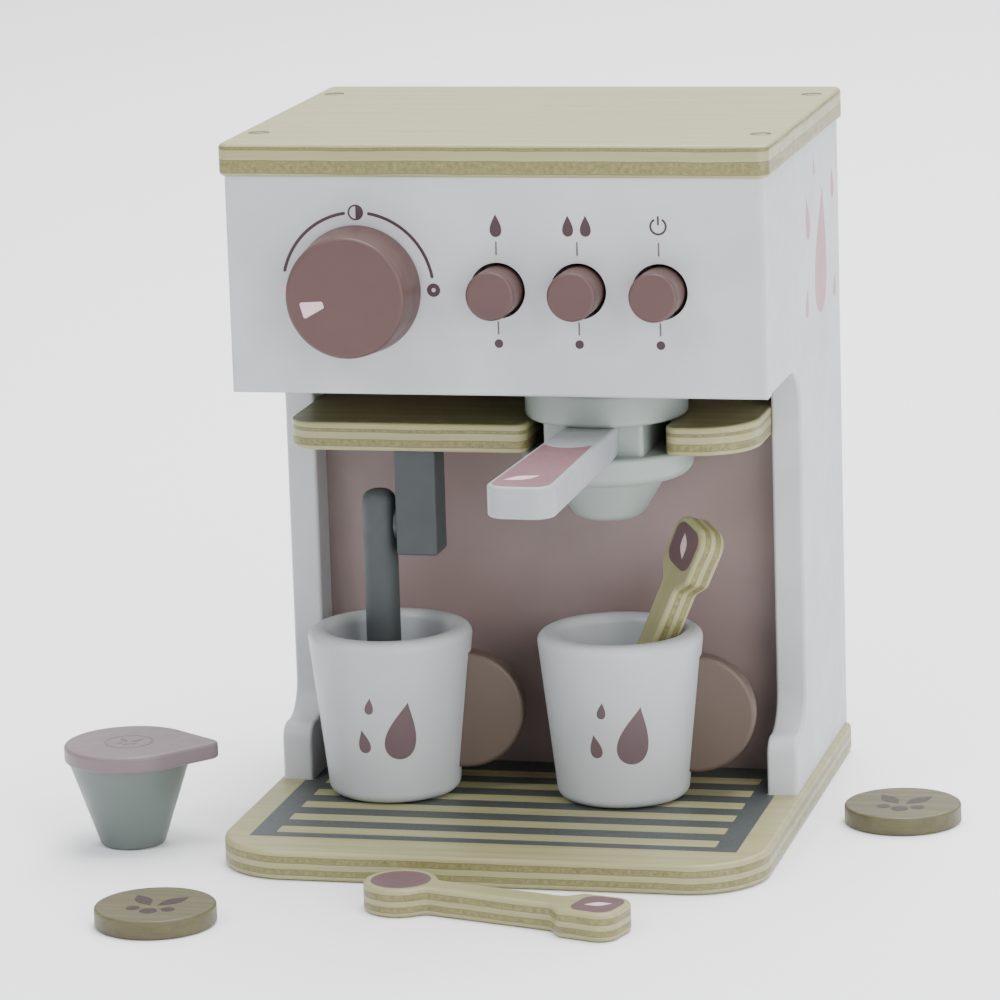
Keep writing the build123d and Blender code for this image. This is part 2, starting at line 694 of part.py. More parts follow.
def portafilter_bowl():
    """The turned bowl under the shelf, with a flange a little wider than the collar."""
    top = FLANGE_HEIGHT
    bowl = turned(
        [
            (0, -BOWL_HEIGHT),
            (BOWL_BOTTOM_RADIUS, -BOWL_HEIGHT),
            (BOWL_TOP_RADIUS, 0),
            (FLANGE_RADIUS, 0),
            (FLANGE_RADIUS, top),
            (0, top),
        ],
        rounds=[
            ((BOWL_BOTTOM_RADIUS, -BOWL_HEIGHT), BOWL_ROUND),
            ((BOWL_TOP_RADIUS, 0), BOWL_NECK_ROUND),
            ((FLANGE_RADIUS, 0), FLANGE_UNDER_ROUND),
            ((FLANGE_RADIUS, top), FLANGE_ROUND),
        ],
    )
    socket = Pos(0, 0, top - CORE_DOWEL_DEPTH) * rod(CORE_DOWEL_RADIUS + GLUE_GAP, CORE_DOWEL_DEPTH + 1)
    return Pos(GROUP_X, GROUP_Y, FLANGE_Z) * (bowl - socket)


def portafilter_dowel():
    """The thick dowel that joins bowl, neck and collar."""
    bottom = FLANGE_TOP_Z - CORE_DOWEL_DEPTH
    length = COLLAR_Z + CORE_DOWEL_SEAT - bottom
    pin = chamfer(rod(CORE_DOWEL_RADIUS, length).edges().filter_by(GeomType.CIRCLE), CORE_DOWEL_CHAMFER)
    return Pos(GROUP_X, GROUP_Y, bottom) * pin


# ---------------------------------------------------------------- steam wand
def wand_bracket():
    """The square post under the shelf that carries the wand's pivot pin."""
    low = (BRACKET_X, WAND_Y - BRACKET_DEPTH / 2, SHELF_Z - BRACKET_DROP)
    high = (BRACKET_X + BRACKET_WIDTH, WAND_Y + BRACKET_DEPTH / 2, SHELF_Z)
    body = block(low, high)
    edges = body.edges().filter_by(Axis.Z) + body.faces().sort_by(Axis.Z)[0].edges()
    body = fillet(edges, BRACKET_EDGE_ROUND)
    depth = PIVOT_PIN_REACH + PIVOT_PIN_END_PLAY
    pin_hole = Pos(depth, 0, 0) * Rot(Y=-90) * rod(PIVOT_PIN_RADIUS + RUNNING_GAP, depth + 1)
    body = body - Pos(BRACKET_X, WAND_Y, WAND_PIVOT_Z) * pin_hole
    return bore(body, bracket_dowel_places(), thin_dowel_hole())


def steam_wand():
    """A dowel with both ends rounded, turning on a cross pin near its top."""
    low = WAND_PIVOT_Z + WAND_TOP_REACH - WAND_LENGTH
    wand = turned(
        [(0, 0), (WAND_RADIUS, 0), (WAND_RADIUS, WAND_LENGTH), (0, WAND_LENGTH)],
        rounds=[((WAND_RADIUS, 0), WAND_TOP_ROUND), ((WAND_RADIUS, WAND_LENGTH), WAND_TOP_ROUND)],
    )
    hole = along_x(Cylinder(PIVOT_PIN_RADIUS + GLUE_GAP, 4 * WAND_RADIUS))
    wand = Pos(WAND_X, WAND_Y, low) * wand
    return wand - Pos(WAND_X, WAND_Y, WAND_PIVOT_Z) * hole


def wand_pivot_pin():
    """Glued in the wand, running in the bracket's blind hole."""
    start = WAND_X - WAND_RADIUS + PIVOT_PIN_INSET
    pin = rod(PIVOT_PIN_RADIUS, BRACKET_X + PIVOT_PIN_REACH - start)
    pin = chamfer(pin.edges().filter_by(GeomType.CIRCLE), PIVOT_PIN_CHAMFER)
    return Pos(start, WAND_Y, WAND_PIVOT_Z) * along_x(pin)


def wand_washer():
    """The thin spacer on the pin between the wand and its bracket."""
    ring = rod(WASHER_RADIUS, WASHER_THICKNESS) - through(PIVOT_PIN_RADIUS + RUNNING_GAP, WASHER_THICKNESS)
    return Pos(BRACKET_X - WASHER_PLAY, WAND_Y, WAND_PIVOT_Z) * Rot(Y=-90) * ring


# ---------------------------------------------------------------- cups
def cup_shell():
    """A thick-walled turned cup standing on the origin."""
    inner_top = CUP_TOP_RADIUS - CUP_WALL
    inner_bottom = inner_top - CUP_SLOPE * (CUP_HEIGHT - CUP_FLOOR)
    return turned(
        [
            (0, 0),
            (CUP_BOTTOM_RADIUS, 0),
            (CUP_TOP_RADIUS, CUP_HEIGHT),
            (inner_top, CUP_HEIGHT),
            (inner_bottom, CUP_FLOOR),
            (0, CUP_FLOOR),
        ],
        rounds=[
            ((CUP_BOTTOM_RADIUS, 0), CUP_FOOT_ROUND),
            ((CUP_TOP_RADIUS, CUP_HEIGHT), CUP_LIP_ROUND),
            ((inner_top, CUP_HEIGHT), CUP_LIP_ROUND),
            ((inner_bottom, CUP_FLOOR), CUP_INNER_ROUND),
        ],
    )


def cup_seat(gap=0.0):
    """How far in from the cup's axis the handle's flat inner edge stands."""
    radius = CUP_BOTTOM_RADIUS + CUP_SLOPE * CUP_HANDLE_HEIGHT
    return radius - CUP_HANDLE_SEAT - gap


def beyond_seat(gap=0.0):
    """The half of space outside the flat inner edge of the handle."""
    size = 4 * CUP_HANDLE_RADIUS
    return Pos(cup_seat(gap) + size / 2, 0, CUP_HANDLE_HEIGHT) * Box(size, size, size)


def handle_disc(gap=0.0):
    """A disc standing on edge beside the cup, its axis along Y."""
    disc = Cylinder(CUP_HANDLE_RADIUS + gap, CUP_HANDLE_THICKNESS + 2 * gap)
    return Pos(CUP_HANDLE_OFFSET, 0, CUP_HANDLE_HEIGHT) * Rot(X=90) * disc


def cup():
    """The cup with the slot that its handle is glued into."""
    return cup_shell() - (handle_disc(GLUE_GAP) & beyond_seat(GLUE_GAP))


def cup_handle():
    """A rounded disc with a flat cut, set upright into the cup's side."""
    disc = handle_disc()
    disc = fillet(disc.edges().filter_by(GeomType.CIRCLE), CUP_HANDLE_EDGE_ROUND)
    return disc & beyond_seat()


def cup_place(x, y):
    return Pos(x, y, CUP_Z) * Rot(Z=CUP_HANDLE_TURN)


# ---------------------------------------------------------------- spoons
def spoon():
    """A flat wooden spoon along +X with the bowl's centre at the origin and its underside on XY."""
    end = SPOON_LENGTH - SPOON_BOWL_RADIUS
    start = end - SPOON_PADDLE_LENGTH
    shoulder = start + SPOON_SHOULDER
    half_neck = SPOON_NECK_WIDTH / 2
    half_shoulder = SPOON_PADDLE_WIDTH / 2
    half_end = SPOON_PADDLE_END_WIDTH / 2
    stem = make_face(Polyline(
        (0, -half_neck),
        (start, -half_neck),
        (shoulder, -half_shoulder),
        (end, -half_end),
        (end, half_end),
        (shoulder, half_shoulder),
        (start, half_neck),
        (0, half_neck),
        close=True,
    ))
    for side in (-1, 1):
        stem = fillet(near(stem.vertices(), start, side * half_neck), SPOON_NECK_ROUND)
        stem = fillet(near(stem.vertices(), shoulder, side * half_shoulder), SPOON_SHOULDER_ROUND)
        stem = fillet(near(stem.vertices(), end, side * half_end), SPOON_CORNER_RADIUS)
    outline = Circle(SPOON_BOWL_RADIUS) + stem
    joint_x = math.sqrt(SPOON_BOWL_RADIUS**2 - half_neck**2)
    for y in (-half_neck, half_neck):
        outline = fillet(near(outline.vertices(), joint_x, y), SPOON_NECK_ROUND)
    board = slab(outline, SPOON_THICKNESS, SPOON_EDGE_ROUND)
    dish_radius = (SPOON_DISH_RADIUS**2 + SPOON_DISH_DEPTH**2) / (2 * SPOON_DISH_DEPTH)
    dish = Pos(0, 0, SPOON_THICKNESS - SPOON_DISH_DEPTH + dish_radius) * Sphere(dish_radius)
    return board - dish


def floor_spoon():
    return Pos(FLOOR_SPOON_X, FLOOR_SPOON_Y, 0) * Rot(Z=FLOOR_SPOON_TURN) * spoon()


def cup_spoon_place():
    """The spoon leans to the right in the right cup, standing on the cup's floor."""
    x = RIGHT_CUP_X + CUP_SPOON_OFFSET_X
    y = RIGHT_CUP_Y + CUP_SPOON_OFFSET_Y
    lean = math.radians(CUP_SPOON_LEAN)
    z = CUP_Z + CUP_FLOOR + CUP_SPOON_LIFT + SPOON_BOWL_RADIUS * math.cos(lean)
    axis = Vector(math.sin(lean), 0, math.cos(lean))
    face = Vector(1, 0, 0).rotate(Axis.Z, CUP_SPOON_TURN)
    face = face - axis * face.dot(axis)
    frame = Plane(origin=(x, y, z), x_dir=axis, z_dir=face.normalized())
    return frame.location * Pos(0, 0, -SPOON_THICKNESS / 2)


def cup_spoon():
    return cup_spoon_place() * spoon()


# ---------------------------------------------------------------- capsule and pads
def capsule_body():
    body = turned(
        [
            (0, 0),
            (CAPSULE_BOTTOM_RADIUS, 0),
            (CAPSULE_TOP_RADIUS, CAPSULE_HEIGHT),
            (0, CAPSULE_HEIGHT),
        ],
        rounds=[((CAPSULE_BOTTOM_RADIUS, 0), CAPSULE_FOOT_ROUND)],
    )
    return Pos(CAPSULE_X, CAPSULE_Y, 0) * body


def capsule_lid():
    """A lid whose rim runs out into a rounded tab."""
    rim = Circle(CAPSULE_LID_RADIUS)
    tab = Pos(CAPSULE_TAB_REACH, 0) * Circle(CAPSULE_TAB_RADIUS)
    outline = make_hull(rim.edges() + tab.edges())
    lid = slab(outline, CAPSULE_LID_THICKNESS, CAPSULE_LID_ROUND)
    place = Pos(CAPSULE_X, CAPSULE_Y, CAPSULE_HEIGHT) * Rot(Z=CAPSULE_TAB_TURN)
    return place * lid


def coffee_pad(x, y):
    disc = rod(PAD_RADIUS, PAD_THICKNESS)
    return Pos(x, y, 0) * fillet(disc.edges().filter_by(GeomType.CIRCLE), PAD_EDGE_ROUND)


# ---------------------------------------------------------------- output
def build_nodes():
    nodes = {
        "base_board": base_board(),
        "left_side_panel": side_panel(-1),
        "right_side_panel": side_panel(1),
        "front_panel": front_panel(),
        "back_panel": back_panel(),
        "top_board": top_board(),
        "housing_floor": housing_floor(),
        "shelf_board": shelf_board(),
        "mechanism_rail": mechanism_rail(),
        "top_board_screws": group(top_screw_places(), screw()),
        "base_board_screws": group(base_screw_places(), screw()),
        "shelf_dowels": group(shelf_dowel_places(), thick_dowel()),
        "shelf_back_dowels": group(shelf_back_dowel_places(), thin_dowel()),
        "bracket_dowels": group(bracket_dowel_places(), thin_dowel()),
        "rail_dowels": group(rail_dowel_places(), thick_dowel()),
        "back_panel_dowels": group(back_dowel_places(), thick_dowel()),
        "floor_dowels": group(floor_dowel_places(), thin_dowel()),
        "front_panel_dowels": group(front_dowel_places(), thin_dowel()),
        "dial_knob": dial_knob(),
        "dial_spindle": dial_spindle(),
        "dial_retainer": dial_retainer(),
        "portafilter_collar": portafilter_collar(),
        "portafilter_neck": portafilter_neck(),
        "portafilter_handle": portafilter_handle(),
        "portafilter_handle_dowel": neck_place() * handle_dowel_place() * thick_dowel(),
        "portafilter_bowl": portafilter_bowl(),
        "portafilter_dowel": portafilter_dowel(),
        "wand_bracket": wand_bracket(),
        "steam_wand": steam_wand(),
        "wand_pivot_pin": wand_pivot_pin(),
        "wand_washer": wand_washer(),
        "left_cup": cup_place(LEFT_CUP_X, LEFT_CUP_Y) * cup(),
        "left_cup_handle": cup_place(LEFT_CUP_X, LEFT_CUP_Y) * cup_handle(),
        "right_cup": cup_place(RIGHT_CUP_X, RIGHT_CUP_Y) * cup(),
        "right_cup_handle": cup_place(RIGHT_CUP_X, RIGHT_CUP_Y) * cup_handle(),
        "cup_spoon": cup_spoon(),
        "floor_spoon": floor_spoon(),
        "capsule_body": capsule_body(),
        "capsule_lid": capsule_lid(),
        "left_coffee_pad": coffee_pad(LEFT_PAD_X, LEFT_PAD_Y),
        "right_coffee_pad": coffee_pad(RIGHT_PAD_X, RIGHT_PAD_Y),
    }
    for name, x in zip(BUTTON_NAMES, BUTTON_XS):
        nodes[name] = push_button(x)
        nodes[name + "_spring"] = button_spring(x)
    return nodes


def main():
    os.makedirs("parts", exist_ok=True)
    for name, shape in build_nodes().items():
        export_step(shape, "parts/" + name + ".step")


main()
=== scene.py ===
import math

import bmesh
import bpy
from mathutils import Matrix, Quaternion, Vector


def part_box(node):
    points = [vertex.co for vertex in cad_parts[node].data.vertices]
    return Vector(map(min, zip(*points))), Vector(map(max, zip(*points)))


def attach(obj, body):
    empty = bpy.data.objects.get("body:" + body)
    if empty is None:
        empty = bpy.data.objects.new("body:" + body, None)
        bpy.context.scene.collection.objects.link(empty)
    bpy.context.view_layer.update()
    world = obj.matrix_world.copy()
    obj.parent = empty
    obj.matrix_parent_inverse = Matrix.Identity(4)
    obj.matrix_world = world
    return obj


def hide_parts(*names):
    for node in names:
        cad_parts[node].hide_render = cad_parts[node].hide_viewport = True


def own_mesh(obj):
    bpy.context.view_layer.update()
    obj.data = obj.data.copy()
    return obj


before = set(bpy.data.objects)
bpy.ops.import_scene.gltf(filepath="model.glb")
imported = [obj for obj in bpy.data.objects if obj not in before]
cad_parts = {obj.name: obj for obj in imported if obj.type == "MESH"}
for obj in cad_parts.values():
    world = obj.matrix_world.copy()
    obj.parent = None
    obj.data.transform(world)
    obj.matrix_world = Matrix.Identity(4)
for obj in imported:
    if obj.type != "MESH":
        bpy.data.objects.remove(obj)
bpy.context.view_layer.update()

MM = 0.001
UP = (0, 0, 1)
RIGHT = (1, 0, 0)
BACK = (0, 1, 0)
BUTTONS = ("single_cup", "double_cup", "power")
CUPS = ("left_cup", "right_cup")
PADS = ("left_coffee_pad", "right_coffee_pad")

# ------------------------------------------------------------------ camera, in metres and degrees
TARGET = Vector((0.0, 0.0, 0.125))
AZIMUTH = 13.17
ELEVATION = 11.52
DISTANCE = 1.7634
AIM_LEFT = 0.0170
AIM_DOWN = 0.0178
ROLL = -1.8
LENS_MM = 181.5
SENSOR_MM = 36.0

# ------------------------------------------------------------------ stage and light, in metres and watts
FLOOR_REACH = 12.0
FLOOR_DROP = 0.0002
LIGHT_AIM = (0.0, -0.02, 0.12)
LIGHTS = (
    # name, place, aim, size, power
    ("key", (-0.95, -1.25, 1.55), LIGHT_AIM, 0.50, 12.5),
    ("fill", (0.95, -0.95, 0.55), LIGHT_AIM, 1.0, 13.0),
    ("top", (0.2, 0.1, 2.0), LIGHT_AIM, 1.4, 58.0),
    ("sweep", (0.2, 2.2, 2.4), (0.2, 2.2, 0.0), 2.6, 130.0),
)
WORLD_STRENGTH = 0.95

# ------------------------------------------------------------------ prints, in millimetres and degrees
INK_THICKNESS = 0.08
INK_SINK = 0.02
LEAF_THICKNESS = 0.06
PATCH_THICKNESS = 0.10
WELD_REACH = 0.002
SLIVER_REACH = 0.001
FINE_EDGE = 1.1
REFINE_ROUNDS = 8
CAP_STEPS = 6

TRAY_PRINT_HALF = 84.0
TRAY_PRINT_FRONT = -101.0
TRAY_SLOT_HALF = 76.0
TRAY_SLOT_FIRST = -92.0
TRAY_SLOT_PITCH = 15.7
TRAY_SLOT_WIDTH = 7.8
TRAY_SLOT_ROUND = 0.6
TRAY_SLOT_COUNT = 6
FOOT_BAND = 4.0
FOOT_CLEARANCE = 0.3

DIAL_SCALE_RADIUS = 26.1
DIAL_SCALE_WIDTH = 1.1
DIAL_SCALE_SPANS = ((166.0, 99.0), (80.0, 10.0))
DIAL_HALF_MARK = (2.7, 2.1)
DIAL_HALF_FILL = 2.11
DIAL_RING = (2.3, 0.7)
DIAL_WEDGE = ((-1.5, -1.5), (1.7, 0.0), (-1.5, 1.5))
DIAL_WEDGE_ROUND = 0.3
DIAL_WEDGE_SHIFT = 0.4
POINTER = ((7.6, -1.1), (15.4, -2.9), (15.4, 2.9), (7.6, 1.1))
POINTER_ROUND = 0.7
POINTER_TURN = 196.0

BUTTON_LINE_SPANS = ((205.4, 209.6), (178.6, 182.6))
BUTTON_LINE_WIDTH = 0.55
BUTTON_DOT_Z = 175.3
BUTTON_DOT_RADIUS = 1.5
BUTTON_ICON_Z = 215.2
SINGLE_DROP = 7.8
DOUBLE_DROP = 7.2
DOUBLE_DROP_SHIFT = 3.0
POWER_ARC_RADIUS = 2.6
POWER_ARC_WIDTH = 0.7
POWER_ARC_SPAN = (125.0, 415.0)
POWER_BAR_SPAN = (0.7, 3.2)
POWER_BAR_WIDTH = 0.65

SPOON_THICKNESS = 9.5
SPOON_BOWL_RADIUS = 12.4
SPOON_DISH_RADIUS = 9.95
SPOON_DISH_DEPTH = 1.6
SPOON_PATCH = ((65.4, -7.9), (80.2, -8.5), (80.2, 8.5), (65.4, 7.9))
SPOON_PATCH_ROUND = 4.6
SPOON_LEAF = (73.0, 0.0, 9.0, -62.0)
FLOOR_SPOON_TURN = -15.2
CUP_SPOON_LEAN = 23.0
CUP_SPOON_FACING = -144.0

HANDLE_TURN = -1.5
HANDLE_TIP = -121.3
HANDLE_PATCH_REAR = -55.0
HANDLE_PATCH_HALF = (9.9, 8.3)
HANDLE_PATCH_ROUND = 5.2
HANDLE_PATCH_SHOULDER = 0.8
HANDLE_PATCH_HOLLOW = 8.6
HOLLOW_STEPS = 16
HANDLE_LEAF = (-2.0, -108.0, 13.0, -52.0)

LID_RING = (8.6, 7.7)
LID_SPRIG = 9.5
PAD_SPRIG = 21.0
SPRIG_SIZE = 12.0
SPRIG_LEAVES = (
    # x, y, length, lean
    (-2.9, 2.2, 7.6, 35.0),
    (2.9, 2.2, 7.6, -35.0),
)
SPRIG_BERRIES = (
    # x, y, radius
    (0.0, -4.4, 1.7),
    (-3.4, -3.0, 1.35),
    (3.4, -3.0, 1.35),
)

SIDE_DROPS = (
    # depth, height, size, lean
    (36.0, 190.0, 44.0, -10.0),
    (10.0, 205.0, 15.0, 14.0),
    (7.0, 176.0, 10.0, -16.0),
    (60.0, 210.0, 11.0, 10.0),
    (62.0, 173.0, 8.0, -8.0),
    (24.0, 221.0, 6.5, 6.0),
)
CUP_DROPS = (
    # round the cup, height, size, lean
    (4.4, 27.0, 21.0, -12.0),
    (-9.4, 23.0, 8.5, 10.0),
    (-7.0, 36.0, 6.0, -6.0),
)
CUP_DROPS_FACING = -78.0
WALL_END_SHARE = 0.2
FOOT_RING_BAND = 0.1


# ------------------------------------------------------------------ colours
def srgb(red, green, blue):
    """A linear colour with alpha from display values of 0 to 255."""
    def linear(value):
        share = value / 255
        return share / 12.92 if share <= 0.04045 else ((share + 0.055) / 1.055) ** 2.4
    return (linear(red), linear(green), linear(blue), 1.0)


WHITE = srgb(181, 183, 185)
# painted shade: the handle's white is the same paint as WHITE, darkened to look as dim as the handle in shade
SHADED_HANDLE_WHITE = srgb(151, 155, 158)
CUP_WHITE = srgb(174, 178, 180)
MAUVE_DIAL = srgb(82, 59, 56)
MAUVE_PANEL = srgb(134, 116, 113)
MAUVE_HANDLE = srgb(86, 72, 63)
LID_PINK = srgb(112, 99, 103)
SAGE = srgb(142, 151, 146)
SAGE_CAPSULE = srgb(92, 101, 97)
SLATE = srgb(61, 66, 67)
SLATE_INK = srgb(63, 68, 68)
DARK_INK = srgb(60, 42, 46)
STRAW = srgb(151, 148, 109)
STRAW_CROSS = srgb(113, 108, 67)
STRAW_GLUE = srgb(60, 54, 30)
PAD_WOOD = srgb(84, 79, 52)
BEECH = srgb(196, 160, 118)
PATCH_PINK = srgb(122, 88, 94)
SPOON_PAINT = srgb(96, 74, 76)
CUP_INK = srgb(90, 72, 76)
PALE_INK = srgb(208, 180, 184)
SIDE_INK = srgb(168, 126, 136)
GREY_INK = srgb(94, 82, 88)
BROWN_INK = srgb(42, 26, 20)
ZINC_DARK = srgb(150, 148, 142)
ZINC_BRIGHT = srgb(190, 188, 182)
PAPER = srgb(246, 246, 248)
STUDIO = srgb(232, 234, 238)


def scaled(colour, factor):
    """A colour made darker or lighter by a factor."""
    return tuple(min(1.0, channel * factor) for channel in colour[:3]) + (1.0,)


# ------------------------------------------------------------------ material helpers
class Graph:
    """A material's nodes, written as short expressions in the object's own coordinates."""

    def __init__(self, name):
        self.material = bpy.data.materials.new(name)
        self.material.use_nodes = True
        self.nodes = self.material.node_tree.nodes
        self.links = self.material.node_tree.links
        self.nodes.clear()
        self.shader = self.nodes.new("ShaderNodeBsdfPrincipled")
        output = self.nodes.new("ShaderNodeOutputMaterial")
        self.links.new(self.shader.outputs["BSDF"], output.inputs["Surface"])
        self.position = self.nodes.new("ShaderNodeTexCoord").outputs["Object"]

    def put(self, socket, value):
        """Links another node's output to the socket, or sets the socket's own value."""
        if isinstance(value, bpy.types.NodeSocket):
            self.links.new(value, socket)
        else:
            socket.default_value = value

    def math(self, operation, *values):
        node = self.nodes.new("ShaderNodeMath")
        node.operation = operation
        for socket, value in zip(node.inputs, values):
            self.put(socket, value)
        return node.outputs[0]

    def vector(self, operation, *values):
        node = self.nodes.new("ShaderNodeVectorMath")
        node.operation = operation
        for socket, value in zip(node.inputs, values):
            self.put(socket, value)
        return node.outputs["Value" if operation in ("DOT_PRODUCT", "LENGTH") else "Vector"]

    def combine(self, x, y, z):
        node = self.nodes.new("ShaderNodeCombineXYZ")
        for socket, value in zip(node.inputs, (x, y, z)):
            self.put(socket, value)
        return node.outputs[0]

    def noise(self, vector, scale, detail=2.0, roughness=0.5):
        """Values round 0.5; scale is in waves per metre."""
        node = self.nodes.new("ShaderNodeTexNoise")
        self.put(node.inputs["Vector"], vector)
        node.inputs["Scale"].default_value = scale
        node.inputs["Detail"].default_value = detail
        node.inputs["Roughness"].default_value = roughness
        return node.outputs["Fac"]

    def spread(self, value, low, high, new_low, new_high):
        """Maps the range from low to high onto new_low to new_high, held at both ends."""
        node = self.nodes.new("ShaderNodeMapRange")
        for socket, entry in zip(node.inputs, (value, low, high, new_low, new_high)):
            self.put(socket, entry)
        return node.outputs[0]

    def steps(self, factor, stops):
        """A grey ramp through (place, value) stops."""
        node = self.nodes.new("ShaderNodeValToRGB")
        self.put(node.inputs["Fac"], factor)
        elements = node.color_ramp.elements
        while len(elements) < len(stops):
            elements.new(0.5)
        for element, (place, value) in zip(elements, stops):
            element.position = place
            element.color = (value, value, value, 1)
        return node.outputs["Color"]

    def mix(self, factor, first, second, blend="MIX"):
        node = self.nodes.new("ShaderNodeMix")
        node.data_type = "RGBA"
        node.blend_type = blend
        self.put(node.inputs["Factor"], factor)
        self.put(node.inputs["A"], first)
        self.put(node.inputs["B"], second)
        return node.outputs["Result"]

    def bump(self, height, strength, distance, before=None):
        node = self.nodes.new("ShaderNodeBump")
        node.inputs["Strength"].default_value = strength
        node.inputs["Distance"].default_value = distance
        self.put(node.inputs["Height"], height)
        if before is not None:
            self.links.new(before, node.inputs["Normal"])
        return node.outputs["Normal"]

    def set(self, **values):
        """Sets the shader's sockets, named with underscores for spaces."""
        for name, value in values.items():
            self.put(self.shader.inputs[name.replace("_", " ")], value)
        return self.material


def stretched(graph, along, slow, fast):
    """Coordinates that vary slowly along one direction and fast across it."""
    along = Vector(along).normalized()
    share = graph.vector("DOT_PRODUCT", graph.position, tuple(along))
    held_back = graph.math("MULTIPLY", share, slow / fast - 1)
    offset = graph.vector("MULTIPLY", graph.combine(held_back, held_back, held_back), tuple(along))
    moved = graph.vector("ADD", graph.position, offset)
    return graph.vector("MULTIPLY", moved, (fast, fast, fast))


# ------------------------------------------------------------------ materials
def painted_wood(name, colour, along, grain=0.35, roughness=0.42):
    """Satin paint on sanded wood: a faint orange peel, and the grain just telling through."""
    g = Graph(name)
    cloud = g.noise(g.position, 28.0, 3.0)
    speckle = g.noise(g.position, 1400.0, 2.0)
    grain_wave = g.noise(stretched(g, along, 22.0, 520.0), 1.0, 4.0, 0.6)
    tone = g.mix(g.spread(cloud, 0.35, 0.65, 0.0, 1.0), scaled(colour, 0.94), scaled(colour, 1.05))
    tone = g.mix(g.spread(grain_wave, 0.45, 0.75, 0.0, 0.16 * grain), tone, scaled(colour, 0.80))
    tone = g.mix(g.spread(speckle, 0.60, 0.80, 0.0, 0.05), tone, scaled(colour, 0.7))
    peel = g.bump(g.noise(g.position, 900.0, 2.0), 0.10, 0.00012)
    surface = g.bump(grain_wave, 0.10 * grain, 0.00015, peel)
    rough = g.spread(g.noise(g.position, 160.0, 3.0), 0.3, 0.7, roughness - 0.05, roughness + 0.07)
    return g.set(Base_Color=tone, Roughness=rough, Normal=surface, Specular_IOR_Level=0.42)


def turned_paint(name, colour, centre, roughness=0.40):
    """Paint on lathe-turned wood: faint level rings, which start from the centre's height."""
    g = Graph(name)
    local = g.vector("SUBTRACT", g.position, tuple(centre))
    height = g.vector("DOT_PRODUCT", local, UP)
    ring = g.noise(g.combine(0.0, 0.0, g.math("MULTIPLY", height, 1500.0)), 1.0, 2.0)
    cloud = g.noise(g.position, 36.0, 3.0)
    speckle = g.noise(g.position, 1300.0, 2.0)
    tone = g.mix(g.spread(cloud, 0.35, 0.65, 0.0, 1.0), scaled(colour, 0.965), scaled(colour, 1.03))
    tone = g.mix(g.spread(ring, 0.5, 0.8, 0.0, 0.05), tone, scaled(colour, 0.8))
    tone = g.mix(g.spread(speckle, 0.62, 0.82, 0.0, 0.06), tone, scaled(colour, 0.7))
    surface = g.bump(ring, 0.08, 0.0001, g.bump(g.noise(g.position, 1000.0, 2.0), 0.10, 0.0001))
    rough = g.spread(g.noise(g.position, 200.0, 3.0), 0.3, 0.7, roughness - 0.05, roughness + 0.07)
    return g.set(Base_Color=tone, Roughness=rough, Normal=surface, Specular_IOR_Level=0.42)


EVEN_PLIES = (0.19, 0.38, 0.60, 0.81)
# the lid's lower cross ply is real dark ply, widened as painted shade along the lower half of the lid's edge
TOP_PLIES_AND_SHADE = (0.11, 0.50, 0.82, 0.90)
SHELF_PLIES = (0.16, 0.40, 0.66, 0.76)
# painted shade on the shelf's top: depth in metres and darkening factor, standing in for the housing's shadow
# over it
SHELF_TOP_PAINTED_SHADE = (0.0003, 0.58)
PLY_WOBBLE = 0.022
PLY_BLUR = 0.018
GLUE_HALF = 0.022


def ply_stops(edges):
    """Ramp stops that are 0 in the outer and middle plies and 1 in the two between them."""
    stops = []
    for i, edge in enumerate(edges):
        stops += [(edge - PLY_BLUR, i % 2), (edge + PLY_BLUR, 1 - i % 2)]
    return stops


def glue_stops(edges):
    """Ramp stops that are 1 on the four glue lines and 0 elsewhere."""
    stops = []
    for edge in edges:
        stops += [(edge - GLUE_HALF, 0.0), (edge, 1.0), (edge + GLUE_HALF, 0.0)]
    return stops


